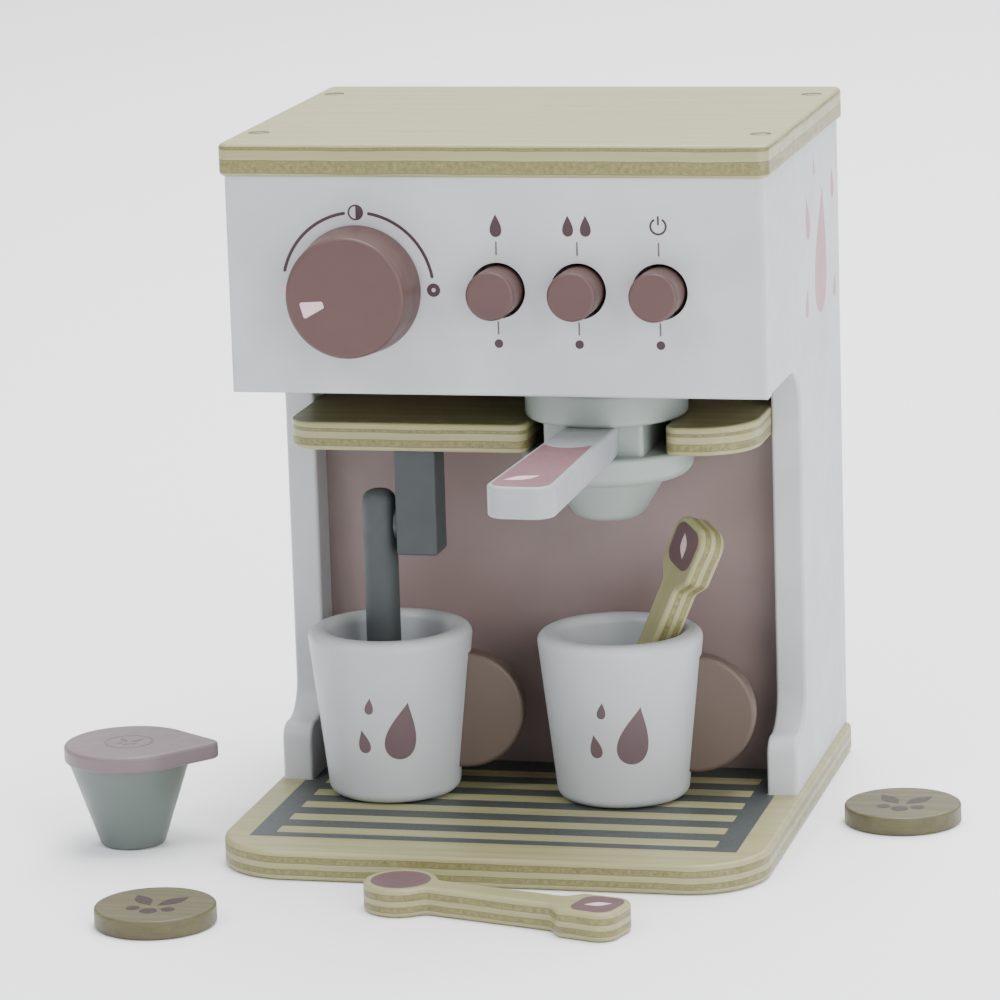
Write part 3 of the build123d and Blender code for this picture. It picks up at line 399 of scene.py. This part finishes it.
def plywood(name, origin, normal, along, thickness, plies=EVEN_PLIES, dish=None, face=None):
    """Clear-lacquered plywood: five plies across normal.

    A dish is a painted hollow's (radius, depth, colour), a face a painted shade's (depth, shade): the board's
    top darkened to stand in for the shadow of what sits over it."""
    g = Graph(name)
    normal = Vector(normal).normalized()
    along = Vector(along).normalized()
    across = normal.cross(along)
    local = g.vector("SUBTRACT", g.position, tuple(origin))
    u = g.vector("DOT_PRODUCT", local, tuple(along))
    v = g.vector("DOT_PRODUCT", local, tuple(across))
    w = g.vector("DOT_PRODUCT", local, tuple(normal))
    plane = g.combine(u, v, 0.0)
    wobble = g.spread(g.noise(plane, 34.0, 3.0), 0.3, 0.7, -PLY_WOBBLE, PLY_WOBBLE)
    depth = g.math("ADD", g.math("DIVIDE", w, thickness), wobble)
    cross = g.steps(depth, ply_stops(plies))
    glue = g.steps(depth, glue_stops(plies))

    def grain(slow_u, slow_v, scale):
        wave = g.combine(g.math("MULTIPLY", u, slow_u), g.math("MULTIPLY", v, slow_v), w)
        return g.noise(wave, scale, 5.0, 0.62)

    long_grain = grain(0.045, 1.0, 260.0)
    fine_grain = grain(0.03, 1.0, 1250.0)
    end_grain = grain(1.0, 0.05, 620.0)
    pores = grain(1.0, 0.12, 1500.0)
    wood = g.mix(g.spread(long_grain, 0.38, 0.70, 0.0, 0.42), STRAW, scaled(STRAW_CROSS, 1.25))
    wood = g.mix(g.spread(fine_grain, 0.50, 0.80, 0.0, 0.30), wood, STRAW_CROSS)
    streaks = g.spread(end_grain, 0.36, 0.66, 0.0, 1.0)
    dark = g.mix(streaks, scaled(STRAW_CROSS, 1.35), scaled(STRAW_CROSS, 0.78))
    dark = g.mix(g.spread(pores, 0.55, 0.75, 0.0, 0.6), dark, STRAW_GLUE)
    wood = g.mix(cross, wood, dark)
    wood = g.mix(g.math("MULTIPLY", glue, g.spread(end_grain, 0.3, 0.6, 0.9, 0.45)), wood, STRAW_GLUE)
    height = g.math("SUBTRACT", long_grain, g.math("MULTIPLY", g.math("ADD", cross, glue), 0.5))
    surface = g.bump(fine_grain, 0.12, 0.00008, g.bump(height, 0.16, 0.00012))
    rough = g.spread(long_grain, 0.3, 0.7, 0.34, 0.48)
    # painted shade: the board's top skin is darkened to stand in for the shadow cast over it
    if face:
        shaded_depth, shade = face
        upper = g.math("GREATER_THAN", w, thickness - shaded_depth)
        wood = g.mix(upper, wood, (shade, shade, shade, 1.0), "MULTIPLY")
    if dish:
        radius, hollow, colour = dish
        inside = g.math("LESS_THAN", g.vector("LENGTH", plane), radius)
        above = g.math("GREATER_THAN", w, thickness - hollow)
        cover = g.mix(g.spread(fine_grain, 0.45, 0.8, 0.0, 0.25), colour, scaled(colour, 0.8))
        wood = g.mix(g.math("MULTIPLY", inside, above), wood, cover)
    return g.set(Base_Color=wood, Roughness=rough, Normal=surface, Specular_IOR_Level=0.45)


def solid_wood(name, colour, along):
    """Lacquered solid wood, the grain along one direction."""
    g = Graph(name)
    long_grain = g.noise(stretched(g, along, 12.0, 300.0), 1.0, 5.0, 0.62)
    pores = g.noise(stretched(g, along, 90.0, 1600.0), 1.0, 3.0, 0.6)
    wood = g.mix(g.spread(long_grain, 0.36, 0.68, 0.0, 1.0), scaled(colour, 1.10), scaled(colour, 0.80))
    wood = g.mix(g.spread(pores, 0.56, 0.76, 0.0, 0.5), wood, scaled(colour, 0.55))
    surface = g.bump(pores, 0.15, 0.00008, g.bump(long_grain, 0.12, 0.0001))
    rough = g.spread(long_grain, 0.3, 0.7, 0.40, 0.54)
    return g.set(Base_Color=wood, Roughness=rough, Normal=surface, Specular_IOR_Level=0.40)


def zinc_steel(name):
    """Zinc-plated screws and spring wire."""
    g = Graph(name)
    cloud = g.noise(g.position, 500.0, 3.0)
    tone = g.mix(g.spread(cloud, 0.3, 0.7, 0.0, 1.0), ZINC_DARK, ZINC_BRIGHT)
    rough = g.spread(cloud, 0.3, 0.7, 0.28, 0.42)
    return g.set(Base_Color=tone, Roughness=rough, Metallic=1.0)


def ink(name, colour, wear=0.25):
    """Pad-printed ink: slightly uneven cover, and satin."""
    g = Graph(name)
    cover = g.noise(g.position, 900.0, 4.0, 0.65)
    cloud = g.noise(g.position, 60.0, 2.0)
    tone = g.mix(g.spread(cloud, 0.35, 0.65, 0.0, 1.0), scaled(colour, 0.95), scaled(colour, 1.05))
    tone = g.mix(g.spread(cover, 0.60, 0.80, 0.0, wear), tone, scaled(colour, 1.5))
    surface = g.bump(cover, 0.10, 0.00005)
    rough = g.spread(cover, 0.3, 0.7, 0.42, 0.55)
    return g.set(Base_Color=tone, Roughness=rough, Normal=surface, Specular_IOR_Level=0.40)


def floor_paper(name):
    """The white sheet under the toy, very slightly clouded."""
    g = Graph(name)
    cloud = g.noise(g.position, 2.0, 2.0)
    tone = g.mix(g.spread(cloud, 0.3, 0.7, 0.0, 1.0), scaled(PAPER, 0.99), PAPER)
    return g.set(Base_Color=tone, Roughness=0.9, Specular_IOR_Level=0.1)


# ------------------------------------------------------------------ carried-over CAD nodes
def middle(node):
    """The centre of a node's box."""
    low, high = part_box(node)
    return (low + high) / 2


def finish_node(node, material):
    """Gives a node one material in place of its own."""
    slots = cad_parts[node].data.materials
    slots.clear()
    slots.append(material)


def board_plywood(node, normal, along, plies=EVEN_PLIES, face=None):
    """Plywood as thick as the board is along its normal."""
    low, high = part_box(node)
    thickness = abs((high - low).dot(Vector(normal)))
    finish_node(node, plywood("plywood_" + node, low, normal, along, thickness, plies, face=face))


def dress_cabinet():
    # the lid's edge carries a wide dark lower ply that is partly painted shade
    board_plywood("top_board", UP, RIGHT, TOP_PLIES_AND_SHADE)
    # the shelf's top gets painted shade for the shadow of the housing over it
    board_plywood("shelf_board", UP, RIGHT, SHELF_PLIES, SHELF_TOP_PAINTED_SHADE)
    for node in ("base_board", "housing_floor"):
        board_plywood(node, UP, RIGHT)
    board_plywood("mechanism_rail", BACK, RIGHT)
    for node in ("left_side_panel", "right_side_panel"):
        finish_node(node, painted_wood("white_paint_" + node, WHITE, UP))
    finish_node("front_panel", painted_wood("white_paint_front", WHITE, RIGHT))
    finish_node("back_panel", painted_wood("mauve_paint_back", MAUVE_PANEL, UP))
    beech = solid_wood("beech_dowel", BEECH, RIGHT)
    steel = zinc_steel("zinc_steel")
    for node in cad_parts:
        if node.endswith("_dowels"):
            finish_node(node, beech)
        if node.endswith(("_screws", "_spring")):
            finish_node(node, steel)


def dress_controls():
    finish_node("dial_knob", painted_wood("mauve_paint_dial", MAUVE_DIAL, BACK, grain=0.2, roughness=0.46))
    for node in ("dial_spindle", "dial_retainer"):
        finish_node(node, solid_wood("beech_" + node, BEECH, BACK))
    for button in BUTTONS:
        node = button + "_button"
        finish_node(node, painted_wood("mauve_paint_" + node, MAUVE_DIAL, BACK, grain=0.2, roughness=0.46))


def fold_springs():
    """A coil in each spring's place: a copy of the spring's mesh held by the cabinet, with the spring itself
    hidden.
    """
    for button in BUTTONS:
        node = button + "_button_spring"
        coil = bpy.data.objects.new(button + "_coil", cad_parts[node].data.copy())
        bpy.context.scene.collection.objects.link(coil)
        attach(coil, "cabinet")
        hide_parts(node)
        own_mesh(coil)


def dress_portafilter():
    axis = middle("portafilter_collar")
    for node in ("portafilter_collar", "portafilter_bowl"):
        finish_node(node, turned_paint("sage_paint_" + node, SAGE, axis))
    finish_node("portafilter_neck", painted_wood("sage_paint_neck", SAGE, RIGHT, grain=0.5))
    # the handle's white paint, darkened as painted shade
    finish_node("portafilter_handle", painted_wood("shaded_white_paint_handle", SHADED_HANDLE_WHITE, BACK))
    finish_node("portafilter_dowel", solid_wood("beech_portafilter", BEECH, UP))
    finish_node("portafilter_handle_dowel", solid_wood("beech_handle_dowel", BEECH, BACK))


def dress_wand():
    finish_node("wand_bracket", painted_wood("slate_paint_bracket", SLATE, UP, grain=0.5, roughness=0.62))
    finish_node("steam_wand", painted_wood("slate_paint_wand", SLATE, UP, grain=0.4, roughness=0.62))
    finish_node("wand_washer", painted_wood("slate_paint_washer", SLATE, BACK))
    finish_node("wand_pivot_pin", solid_wood("beech_pivot_pin", BEECH, RIGHT))


def dress_cups():
    for cup in CUPS:
        finish_node(cup, turned_paint("white_paint_" + cup, CUP_WHITE, middle(cup)))
        finish_node(cup + "_handle", painted_wood("mauve_paint_" + cup, MAUVE_HANDLE, UP, grain=0.3))


def dress_capsule_and_pads():
    finish_node("capsule_body", turned_paint("sage_paint_capsule", SAGE_CAPSULE, middle("capsule_body")))
    finish_node("capsule_lid", painted_wood("mauve_paint_lid", LID_PINK, RIGHT, grain=0.3))
    for node in PADS:
        finish_node(node, solid_wood("pad_wood_" + node, PAD_WOOD, RIGHT))


def spoon_frame(node, along, face):
    """The bowl's centre on the spoon's underside, then the spoon's own three directions."""
    along = Vector(along).normalized()
    face = (Vector(face) - along * along.dot(face)).normalized()
    across = face.cross(along)
    points = [v.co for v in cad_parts[node].data.vertices]
    start = min(p.dot(along) for p in points) + SPOON_BOWL_RADIUS * MM
    sides = [p.dot(across) for p in points]
    origin = along * start + across * (min(sides) + max(sides)) / 2 + face * min(p.dot(face) for p in points)
    return origin, along, across, face


def spoon_frames():
    """Both spoons' frames, by node."""
    turn, lean, facing = map(math.radians, (FLOOR_SPOON_TURN, CUP_SPOON_LEAN, CUP_SPOON_FACING))
    return {
        "floor_spoon": spoon_frame("floor_spoon", (math.cos(turn), math.sin(turn), 0), UP),
        "cup_spoon": spoon_frame(
            "cup_spoon", (math.sin(lean), 0, math.cos(lean)), (math.cos(facing), math.sin(facing), 0)),
    }


def dress_spoons():
    dish = (SPOON_DISH_RADIUS * MM, SPOON_DISH_DEPTH * MM, SPOON_PAINT)
    for node, (origin, along, _, face) in spoon_frames().items():
        wood = plywood("plywood_" + node, origin, face, along, SPOON_THICKNESS * MM, dish=dish)
        finish_node(node, wood)


# ------------------------------------------------------------------ outlines, in millimetres
def circle(x, y, radius, count=40):
    return [(x + radius * math.cos(a), y + radius * math.sin(a))
            for a in (2 * math.pi * i / count for i in range(count))]


def half_circle(x, y, radius, count=18):
    """The right half of a disc."""
    return [(x + radius * math.sin(a), y + radius * math.cos(a))
            for a in (math.pi * i / count for i in range(count + 1))]


def arc_band(x, y, radius, width, start, end, count=36):
    """A band along an arc between two angles in degrees, with round ends."""
    turns = [math.radians(start + (end - start) * i / count) for i in range(count + 1)]
    half = width / 2
    outer = [(x + (radius + half) * math.cos(a), y + (radius + half) * math.sin(a)) for a in turns]
    inner = [(x + (radius - half) * math.cos(a), y + (radius - half) * math.sin(a)) for a in turns]
    sense = 1 if end > start else -1

    def cap(angle, towards):
        cx, cy = x + radius * math.cos(angle), y + radius * math.sin(angle)
        first = angle if towards > 0 else angle + math.pi
        return [(cx + half * math.cos(first + sense * math.pi * i / CAP_STEPS),
                 cy + half * math.sin(first + sense * math.pi * i / CAP_STEPS)) for i in range(1, CAP_STEPS)]

    return outer + cap(turns[-1], 1) + inner[::-1] + cap(turns[0], -1)


def bar(x0, y0, x1, y1, width):
    """A straight line of a given width with round ends."""
    heading = math.atan2(y1 - y0, x1 - x0)
    half = width / 2
    points = []
    for cx, cy, first in ((x1, y1, heading - math.pi / 2), (x0, y0, heading + math.pi / 2)):
        points += [(cx + half * math.cos(first + math.pi * i / CAP_STEPS),
                    cy + half * math.sin(first + math.pi * i / CAP_STEPS)) for i in range(CAP_STEPS + 1)]
    return points


def turned_about(points, x, y, degrees):
    """Points drawn round the origin, turned and moved to (x, y)."""
    c, s = math.cos(math.radians(degrees)), math.sin(math.radians(degrees))
    return [(x + px * c - py * s, y + px * s + py * c) for px, py in points]


def drop(x, y, height, lean=0.0, count=48):
    """A water drop: a round foot that sweeps up into a point."""
    half_width, half_height = 0.36 * height, 0.5 * height
    points = []
    for i in range(count):
        t = 2 * math.pi * i / count
        points.append((half_width * math.sin(t) * math.sin(t / 2) ** 1.35, half_height * math.cos(t)))
    return turned_about(points, x, y, lean)


def leaf(x, y, length, lean, count=12):
    """A pointed leaf."""
    half_width = 0.21 * length
    side = [(half_width * math.sin(math.pi * i / count) ** 1.2, length * (i / count - 0.5))
            for i in range(count + 1)]
    return turned_about(side + [(-px, py) for px, py in side[-2:0:-1]], x, y, lean)


def sprig(x, y, size):
    """Two leaves over three berries, drawn to fit a circle of a given size."""
    share = size / SPRIG_SIZE
    loops = [leaf(lx * share, ly * share, length * share, lean) for lx, ly, length, lean in SPRIG_LEAVES]
    loops += [circle(bx * share, by * share, radius * share, count=20) for bx, by, radius in SPRIG_BERRIES]
    return [[(px + x, py + y) for px, py in loop] for loop in loops]


def rounded(corners, radius, count=5):
    """A polygon with each corner rounded by the same radius."""
    points = []
    total = len(corners)
    for i, place in enumerate(corners):
        corner = Vector(place)
        before = Vector(corners[i - 1]) - corner
        after = Vector(corners[(i + 1) % total]) - corner
        inwards = (before.normalized() + after.normalized()).normalized()
        half = before.angle(after) / 2
        reach = radius / math.tan(half)
        start = corner + before.normalized() * reach
        end = corner + after.normalized() * reach
        centre = corner + inwards * radius / math.sin(half)
        first, last = start - centre, end - centre
        swing = first.angle_signed(last)
        for k in range(count + 1):
            a = -swing * k / count
            c, s = math.cos(a), math.sin(a)
            points.append((centre.x + first.x * c - first.y * s, centre.y + first.x * s + first.y * c))
    return points


def box_loop(x0, y0, x1, y1, radius):
    return rounded([(x0, y0), (x1, y0), (x1, y1), (x0, y1)], radius)


# ------------------------------------------------------------------ printed pieces
def flat_shape(loops, thickness):
    """A thin closed mesh over z = 0 from outlines in millimetres; an outline inside another is a hole."""
    curve = bpy.data.curves.new("outline", "CURVE")
    curve.dimensions = "2D"
    curve.fill_mode = "BOTH"
    curve.extrude = thickness / 2
    for loop in loops:
        spline = curve.splines.new("POLY")
        spline.points.add(len(loop) - 1)
        for point, (x, y) in zip(spline.points, loop):
            point.co = (x, y, 0, 1)
        spline.use_cyclic_u = True
    holder = bpy.data.objects.new("outline", curve)
    mesh = bpy.data.meshes.new_from_object(holder)
    bpy.data.objects.remove(holder)
    bpy.data.curves.remove(curve)
    shape = bmesh.new()
    shape.from_mesh(mesh)
    bpy.data.meshes.remove(mesh)
    bmesh.ops.remove_doubles(shape, verts=shape.verts, dist=WELD_REACH)
    bmesh.ops.dissolve_degenerate(shape, edges=shape.edges, dist=SLIVER_REACH)
    for vertex in shape.verts:
        vertex.co.z += thickness / 2
    return shape


def refine(shape, longest):
    """Splits long edges until the shape can follow a curved surface."""
    for _ in range(REFINE_ROUNDS):
        long_edges = [e for e in shape.edges if e.calc_length() > longest]
        if not long_edges:
            break
        bmesh.ops.subdivide_edges(shape, edges=long_edges, cuts=1)
        bmesh.ops.triangulate(shape, faces=[f for f in shape.faces if len(f.verts) > 3])


def printed(name, loops, place, material, body, thickness=INK_THICKNESS, curved=False):
    """One printed or painted patch: place turns (x, y, height) in millimetres into a point in metres."""
    shape = flat_shape(loops, thickness)
    if curved:
        refine(shape, FINE_EDGE)
    for vertex in shape.verts:
        x, y, height = vertex.co
        vertex.co = place(x, y, height - INK_SINK)
    bmesh.ops.recalc_face_normals(shape, faces=shape.faces)
    mesh = bpy.data.meshes.new(name)
    shape.to_mesh(mesh)
    shape.free()
    mesh.materials.append(material)
    piece = bpy.data.objects.new(name, mesh)
    bpy.context.scene.collection.objects.link(piece)
    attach(piece, body)


def on_top(height):
    """Places a print on an upward face at a height in metres."""
    return lambda x, y, h: Vector((x * MM, y * MM, height + h * MM))


def on_front(depth):
    """Places a print on a face that looks towards -Y; x stays, y becomes the height."""
    return lambda x, y, h: Vector((x * MM, depth - h * MM, y * MM))


def on_right(side):
    """Places a print on a face that looks towards +X; x becomes the depth, y the height."""
    return lambda x, y, h: Vector((side + h * MM, x * MM, y * MM))


def on_cone(axis, low, bottom_radius, slope, facing):
    """Wraps a print round a cup: x runs round it from the facing angle, y is the height over its foot."""
    turn = math.radians(facing)

    def place(x, y, h):
        height = y * MM
        radius = bottom_radius + slope * height
        angle = turn + x * MM / radius
        reach = radius + h * MM
        return Vector((axis.x + reach * math.cos(angle), axis.y + reach * math.sin(angle), low + height))

    return place


def on_spoon(origin, along, across, face):
    """Places a print on a spoon's upper face: x runs along the spoon from the bowl's centre, y across it."""
    return lambda x, y, h: origin + (along * x + across * y + face * (SPOON_THICKNESS + h)) * MM


def on_patch(place):
    """Places a print on top of a painted patch."""
    return lambda x, y, h: place(x, y, h + PATCH_THICKNESS - INK_SINK)


def print_tray():
    """The slate grid printed on the cup tray, left open over the bare wood between its bars."""
    base_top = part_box("base_board")[1].z
    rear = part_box("back_panel")[0].y / MM - FOOT_CLEARANCE
    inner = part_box("right_side_panel")[0].x / MM - FOOT_CLEARANCE
    points = [v.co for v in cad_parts["right_side_panel"].data.vertices]
    foot_y = min(p.y for p in points if p.z < base_top + FOOT_BAND * MM) / MM - FOOT_CLEARANCE
    half = TRAY_PRINT_HALF
    outline = [
        (-half, TRAY_PRINT_FRONT), (half, TRAY_PRINT_FRONT), (half, foot_y), (inner, foot_y),
        (inner, rear), (-inner, rear), (-inner, foot_y), (-half, foot_y),
    ]
    loops = [outline]
    reach = TRAY_SLOT_WIDTH / 2
    for i in range(TRAY_SLOT_COUNT):
        y = TRAY_SLOT_FIRST + TRAY_SLOT_PITCH * i
        loops.append(box_loop(-TRAY_SLOT_HALF, y - reach, TRAY_SLOT_HALF, y + reach, TRAY_SLOT_ROUND))
    printed("tray_print", loops, on_top(base_top), ink("slate_ink", SLATE_INK), "cabinet")


def print_dial_scale(dark, pale):
    """The arc round the dial with a half-filled mark above, a ring at its right and a wedge at its left."""
    centre = middle("dial_knob") / MM
    place = on_front(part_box("front_panel")[0].y)
    radius = DIAL_SCALE_RADIUS
    loops = [arc_band(centre.x, centre.z, radius, DIAL_SCALE_WIDTH, a, b) for a, b in DIAL_SCALE_SPANS]
    top_z = centre.z + radius
    loops += [circle(centre.x, top_z, rim) for rim in DIAL_HALF_MARK]
    half_disc = half_circle(centre.x, top_z, DIAL_HALF_FILL)
    right_x = centre.x + radius
    ring, bore = DIAL_RING
    loops += [circle(right_x, centre.z, ring), circle(right_x, centre.z, bore, count=24)]
    printed("dial_scale", loops, place, dark, "cabinet")
    printed("dial_scale_half_mark", [half_disc], place, dark, "cabinet")
    wedge = rounded(DIAL_WEDGE, DIAL_WEDGE_ROUND)
    wedge = turned_about(wedge, centre.x - radius - DIAL_WEDGE_SHIFT, centre.z, 180)
    printed("dial_scale_wedge", [wedge], place, pale, "cabinet")


def print_dial_pointer(pale):
    """A plain tapered pointer on the dial's face, turned to the lower left."""
    centre = middle("dial_knob") / MM
    pointer = turned_about(rounded(POINTER, POINTER_ROUND), centre.x, centre.z, POINTER_TURN)
    printed("dial_pointer", [pointer], on_front(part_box("dial_knob")[0].y), pale, "dial")


def print_button_marks(dark, grey):
    """A thin line and a symbol over each button, a line and a dot under it."""
    place = on_front(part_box("front_panel")[0].y)
    middles = [middle(button + "_button").x / MM for button in BUTTONS]
    lines = [bar(x, a, x, b, BUTTON_LINE_WIDTH) for x in middles for a, b in BUTTON_LINE_SPANS]
    dots = [circle(x, BUTTON_DOT_Z, BUTTON_DOT_RADIUS, count=24) for x in middles]
    printed("button_lines", lines, place, grey, "cabinet")
    printed("button_dots", dots, place, dark, "cabinet")
    single, double, power = middles
    z = BUTTON_ICON_Z
    drops = [drop(single, z, SINGLE_DROP)]
    drops += [drop(double + side * DOUBLE_DROP_SHIFT, z, DOUBLE_DROP) for side in (-1, 1)]
    printed("button_drops", drops, place, dark, "cabinet")
    low, high = POWER_BAR_SPAN
    mark = [arc_band(power, z, POWER_ARC_RADIUS, POWER_ARC_WIDTH, *POWER_ARC_SPAN)]
    mark.append(bar(power, z + low, power, z + high, POWER_BAR_WIDTH))
    printed("power_mark", mark, place, dark, "cabinet")


def print_side_drops():
    """Drops of several sizes scattered over the housing's right side."""
    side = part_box("right_side_panel")[1].x
    loops = [drop(*entry) for entry in SIDE_DROPS]
    printed("side_drops", loops, on_right(side), ink("pale_ink_side", SIDE_INK), "cabinet")


def cup_axis(cup):
    """A cup's upright axis, from its foot's ring of vertices."""
    low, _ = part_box(cup)
    foot = [v.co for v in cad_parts[cup].data.vertices if v.co.z < low.z + FOOT_RING_BAND * MM]
    xs, ys = [p.x for p in foot], [p.y for p in foot]
    return Vector(((min(xs) + max(xs)) / 2, (min(ys) + max(ys)) / 2, low.z))


def wall_line(cup, axis, low, high):
    """The cup's outer radius at its foot and its slope, through its widest low and high vertices."""
    points = [v.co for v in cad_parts[cup].data.vertices]
    rings = [(math.hypot(p.x - axis.x, p.y - axis.y), p.z) for p in points]
    reach = WALL_END_SHARE * (high.z - low.z)
    foot = max(r for r in rings if r[1] < low.z + reach)
    lip = max(r for r in rings if r[1] > high.z - reach)
    slope = (lip[0] - foot[0]) / (lip[1] - foot[1])
    return foot[0] - slope * (foot[1] - low.z), slope


def print_cup_drops(dark):
    """One large and two small drops on each cup, towards the front."""
    for cup in CUPS:
        low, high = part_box(cup)
        axis = cup_axis(cup)
        bottom, slope = wall_line(cup, axis, low, high)
        place = on_cone(axis, low.z, bottom, slope, CUP_DROPS_FACING)
        loops = [drop(*entry) for entry in CUP_DROPS]
        printed(cup + "_drops", loops, place, dark, cup, curved=True)


def print_handle_patch(pink, pale):
    """The pink field on the handle, with a hollow rear edge and a small leaf."""
    axis = middle("portafilter_bowl") / MM
    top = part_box("portafilter_handle")[1].z

    def place(x, y, h):
        px, py = turned_about([(x, y)], axis.x, axis.y, HANDLE_TURN)[0]
        return Vector((px * MM, py * MM, top + h * MM))

    tip, rear = HANDLE_PATCH_HALF
    turn = math.asin((rear - HANDLE_PATCH_SHOULDER) / HANDLE_PATCH_HOLLOW)
    centre = HANDLE_PATCH_REAR + HANDLE_PATCH_HOLLOW * math.cos(turn)
    angles = [turn * (1 - 2 * i / HOLLOW_STEPS) for i in range(HOLLOW_STEPS + 1)]
    hollow = [(HANDLE_PATCH_HOLLOW * math.sin(a), centre - HANDLE_PATCH_HOLLOW * math.cos(a)) for a in angles]
    rear_right, rear_left = (rear, HANDLE_PATCH_REAR), (-rear, HANDLE_PATCH_REAR)
    whole = rounded([(-tip, HANDLE_TIP), (tip, HANDLE_TIP), rear_right, rear_left], HANDLE_PATCH_ROUND)
    front = [point for point in whole if point[1] < (HANDLE_TIP + HANDLE_PATCH_REAR) / 2]
    outline = front + [rear_right] + hollow + [rear_left]
    body, slot = "portafilter", "mauve_paint"
    printed("handle_patch", [outline], place, pink, body, PATCH_THICKNESS)
    printed("handle_leaf", [leaf(*HANDLE_LEAF)], on_patch(place), pale, body, LEAF_THICKNESS)


def print_spoon_patches(pink, pale):
    """A painted field with a small leaf on each spoon's paddle."""
    patch = rounded(SPOON_PATCH, SPOON_PATCH_ROUND)
    for node, directions in spoon_frames().items():
        place = on_spoon(*directions)
        printed(node + "_patch", [patch], place, pink, node, PATCH_THICKNESS)
        printed(node + "_leaf", [leaf(*SPOON_LEAF)], on_patch(place), pale, node, LEAF_THICKNESS)


def print_lid_and_pads(grey, brown):
    """A ring and a sprig on the capsule's lid, a sprig on each pad."""
    centre = middle("capsule_body") / MM
    loops = [circle(centre.x, centre.y, rim) for rim in LID_RING] + sprig(centre.x, centre.y, LID_SPRIG)
    printed("lid_emblem", loops, on_top(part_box("capsule_lid")[1].z), grey, "capsule")
    for node in PADS:
        centre = middle(node) / MM
        loops = sprig(centre.x, centre.y, PAD_SPRIG)
        printed(node + "_sprig", loops, on_top(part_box(node)[1].z), brown, node)


def add_prints():
    dark = ink("mauve_ink", DARK_INK)
    mauve = ink("mauve_ink_cup", CUP_INK)
    pink = ink("pink_paint", PATCH_PINK)
    pale = ink("pale_ink", PALE_INK)
    grey = ink("grey_ink", GREY_INK)
    print_tray()
    print_dial_scale(dark, pale)
    print_dial_pointer(pale)
    print_button_marks(dark, grey)
    print_side_drops()
    print_cup_drops(mauve)
    print_handle_patch(pink, pale)
    print_spoon_patches(ink("mauve_patch", SPOON_PAINT), pale)
    print_lid_and_pads(grey, ink("brown_ink", BROWN_INK))


# ------------------------------------------------------------------ stage, light and camera
def add_floor():
    mesh = bpy.data.meshes.new("floor")
    corners = [(x * FLOOR_REACH, y * FLOOR_REACH, 0) for x, y in ((-1, -1), (1, -1), (1, 1), (-1, 1))]
    mesh.from_pydata(corners, [], [(0, 1, 2, 3)])
    floor = bpy.data.objects.new("floor", mesh)
    floor.location.z = -FLOOR_DROP
    bpy.context.scene.collection.objects.link(floor)
    mesh.materials.append(floor_paper("floor_paper"))


def add_light(name, place, aim, size, power):
    """A round area light that points from its place to its aim."""
    light = bpy.data.lights.new(name, "AREA")
    light.shape = "DISK"
    light.size = size
    light.energy = power
    lamp = bpy.data.objects.new(name, light)
    lamp.location = place
    lamp.rotation_mode = "QUATERNION"
    lamp.rotation_quaternion = (Vector(aim) - Vector(place)).to_track_quat("-Z", "Y")
    bpy.context.scene.collection.objects.link(lamp)


def add_lights():
    for entry in LIGHTS:
        add_light(*entry)
    world = bpy.data.worlds.new("studio")
    world.use_nodes = True
    background = world.node_tree.nodes["Background"]
    background.inputs["Color"].default_value = STUDIO
    background.inputs["Strength"].default_value = WORLD_STRENGTH
    bpy.context.scene.world = world


def add_camera():
    azimuth, elevation = math.radians(AZIMUTH), math.radians(ELEVATION)
    back = Vector((
        math.sin(azimuth) * math.cos(elevation),
        -math.cos(azimuth) * math.cos(elevation),
        math.sin(elevation),
    ))
    right = Vector((math.cos(azimuth), math.sin(azimuth), 0))
    up = back.cross(right)
    place = TARGET + back * DISTANCE
    aim = TARGET - right * AIM_LEFT - up * AIM_DOWN
    data = bpy.data.cameras.new("camera")
    data.lens = LENS_MM
    data.sensor_width = SENSOR_MM
    camera = bpy.data.objects.new("camera", data)
    camera.location = place
    camera.rotation_mode = "QUATERNION"
    level = (aim - place).to_track_quat("-Z", "Y")
    camera.rotation_quaternion = level @ Quaternion((0, 0, 1), math.radians(ROLL))
    bpy.context.scene.collection.objects.link(camera)
    bpy.context.scene.camera = camera


dress_cabinet()
dress_controls()
fold_springs()
dress_portafilter()
dress_wand()
dress_cups()
dress_capsule_and_pads()
dress_spoons()
add_prints()
add_floor()
add_lights()
add_camera()
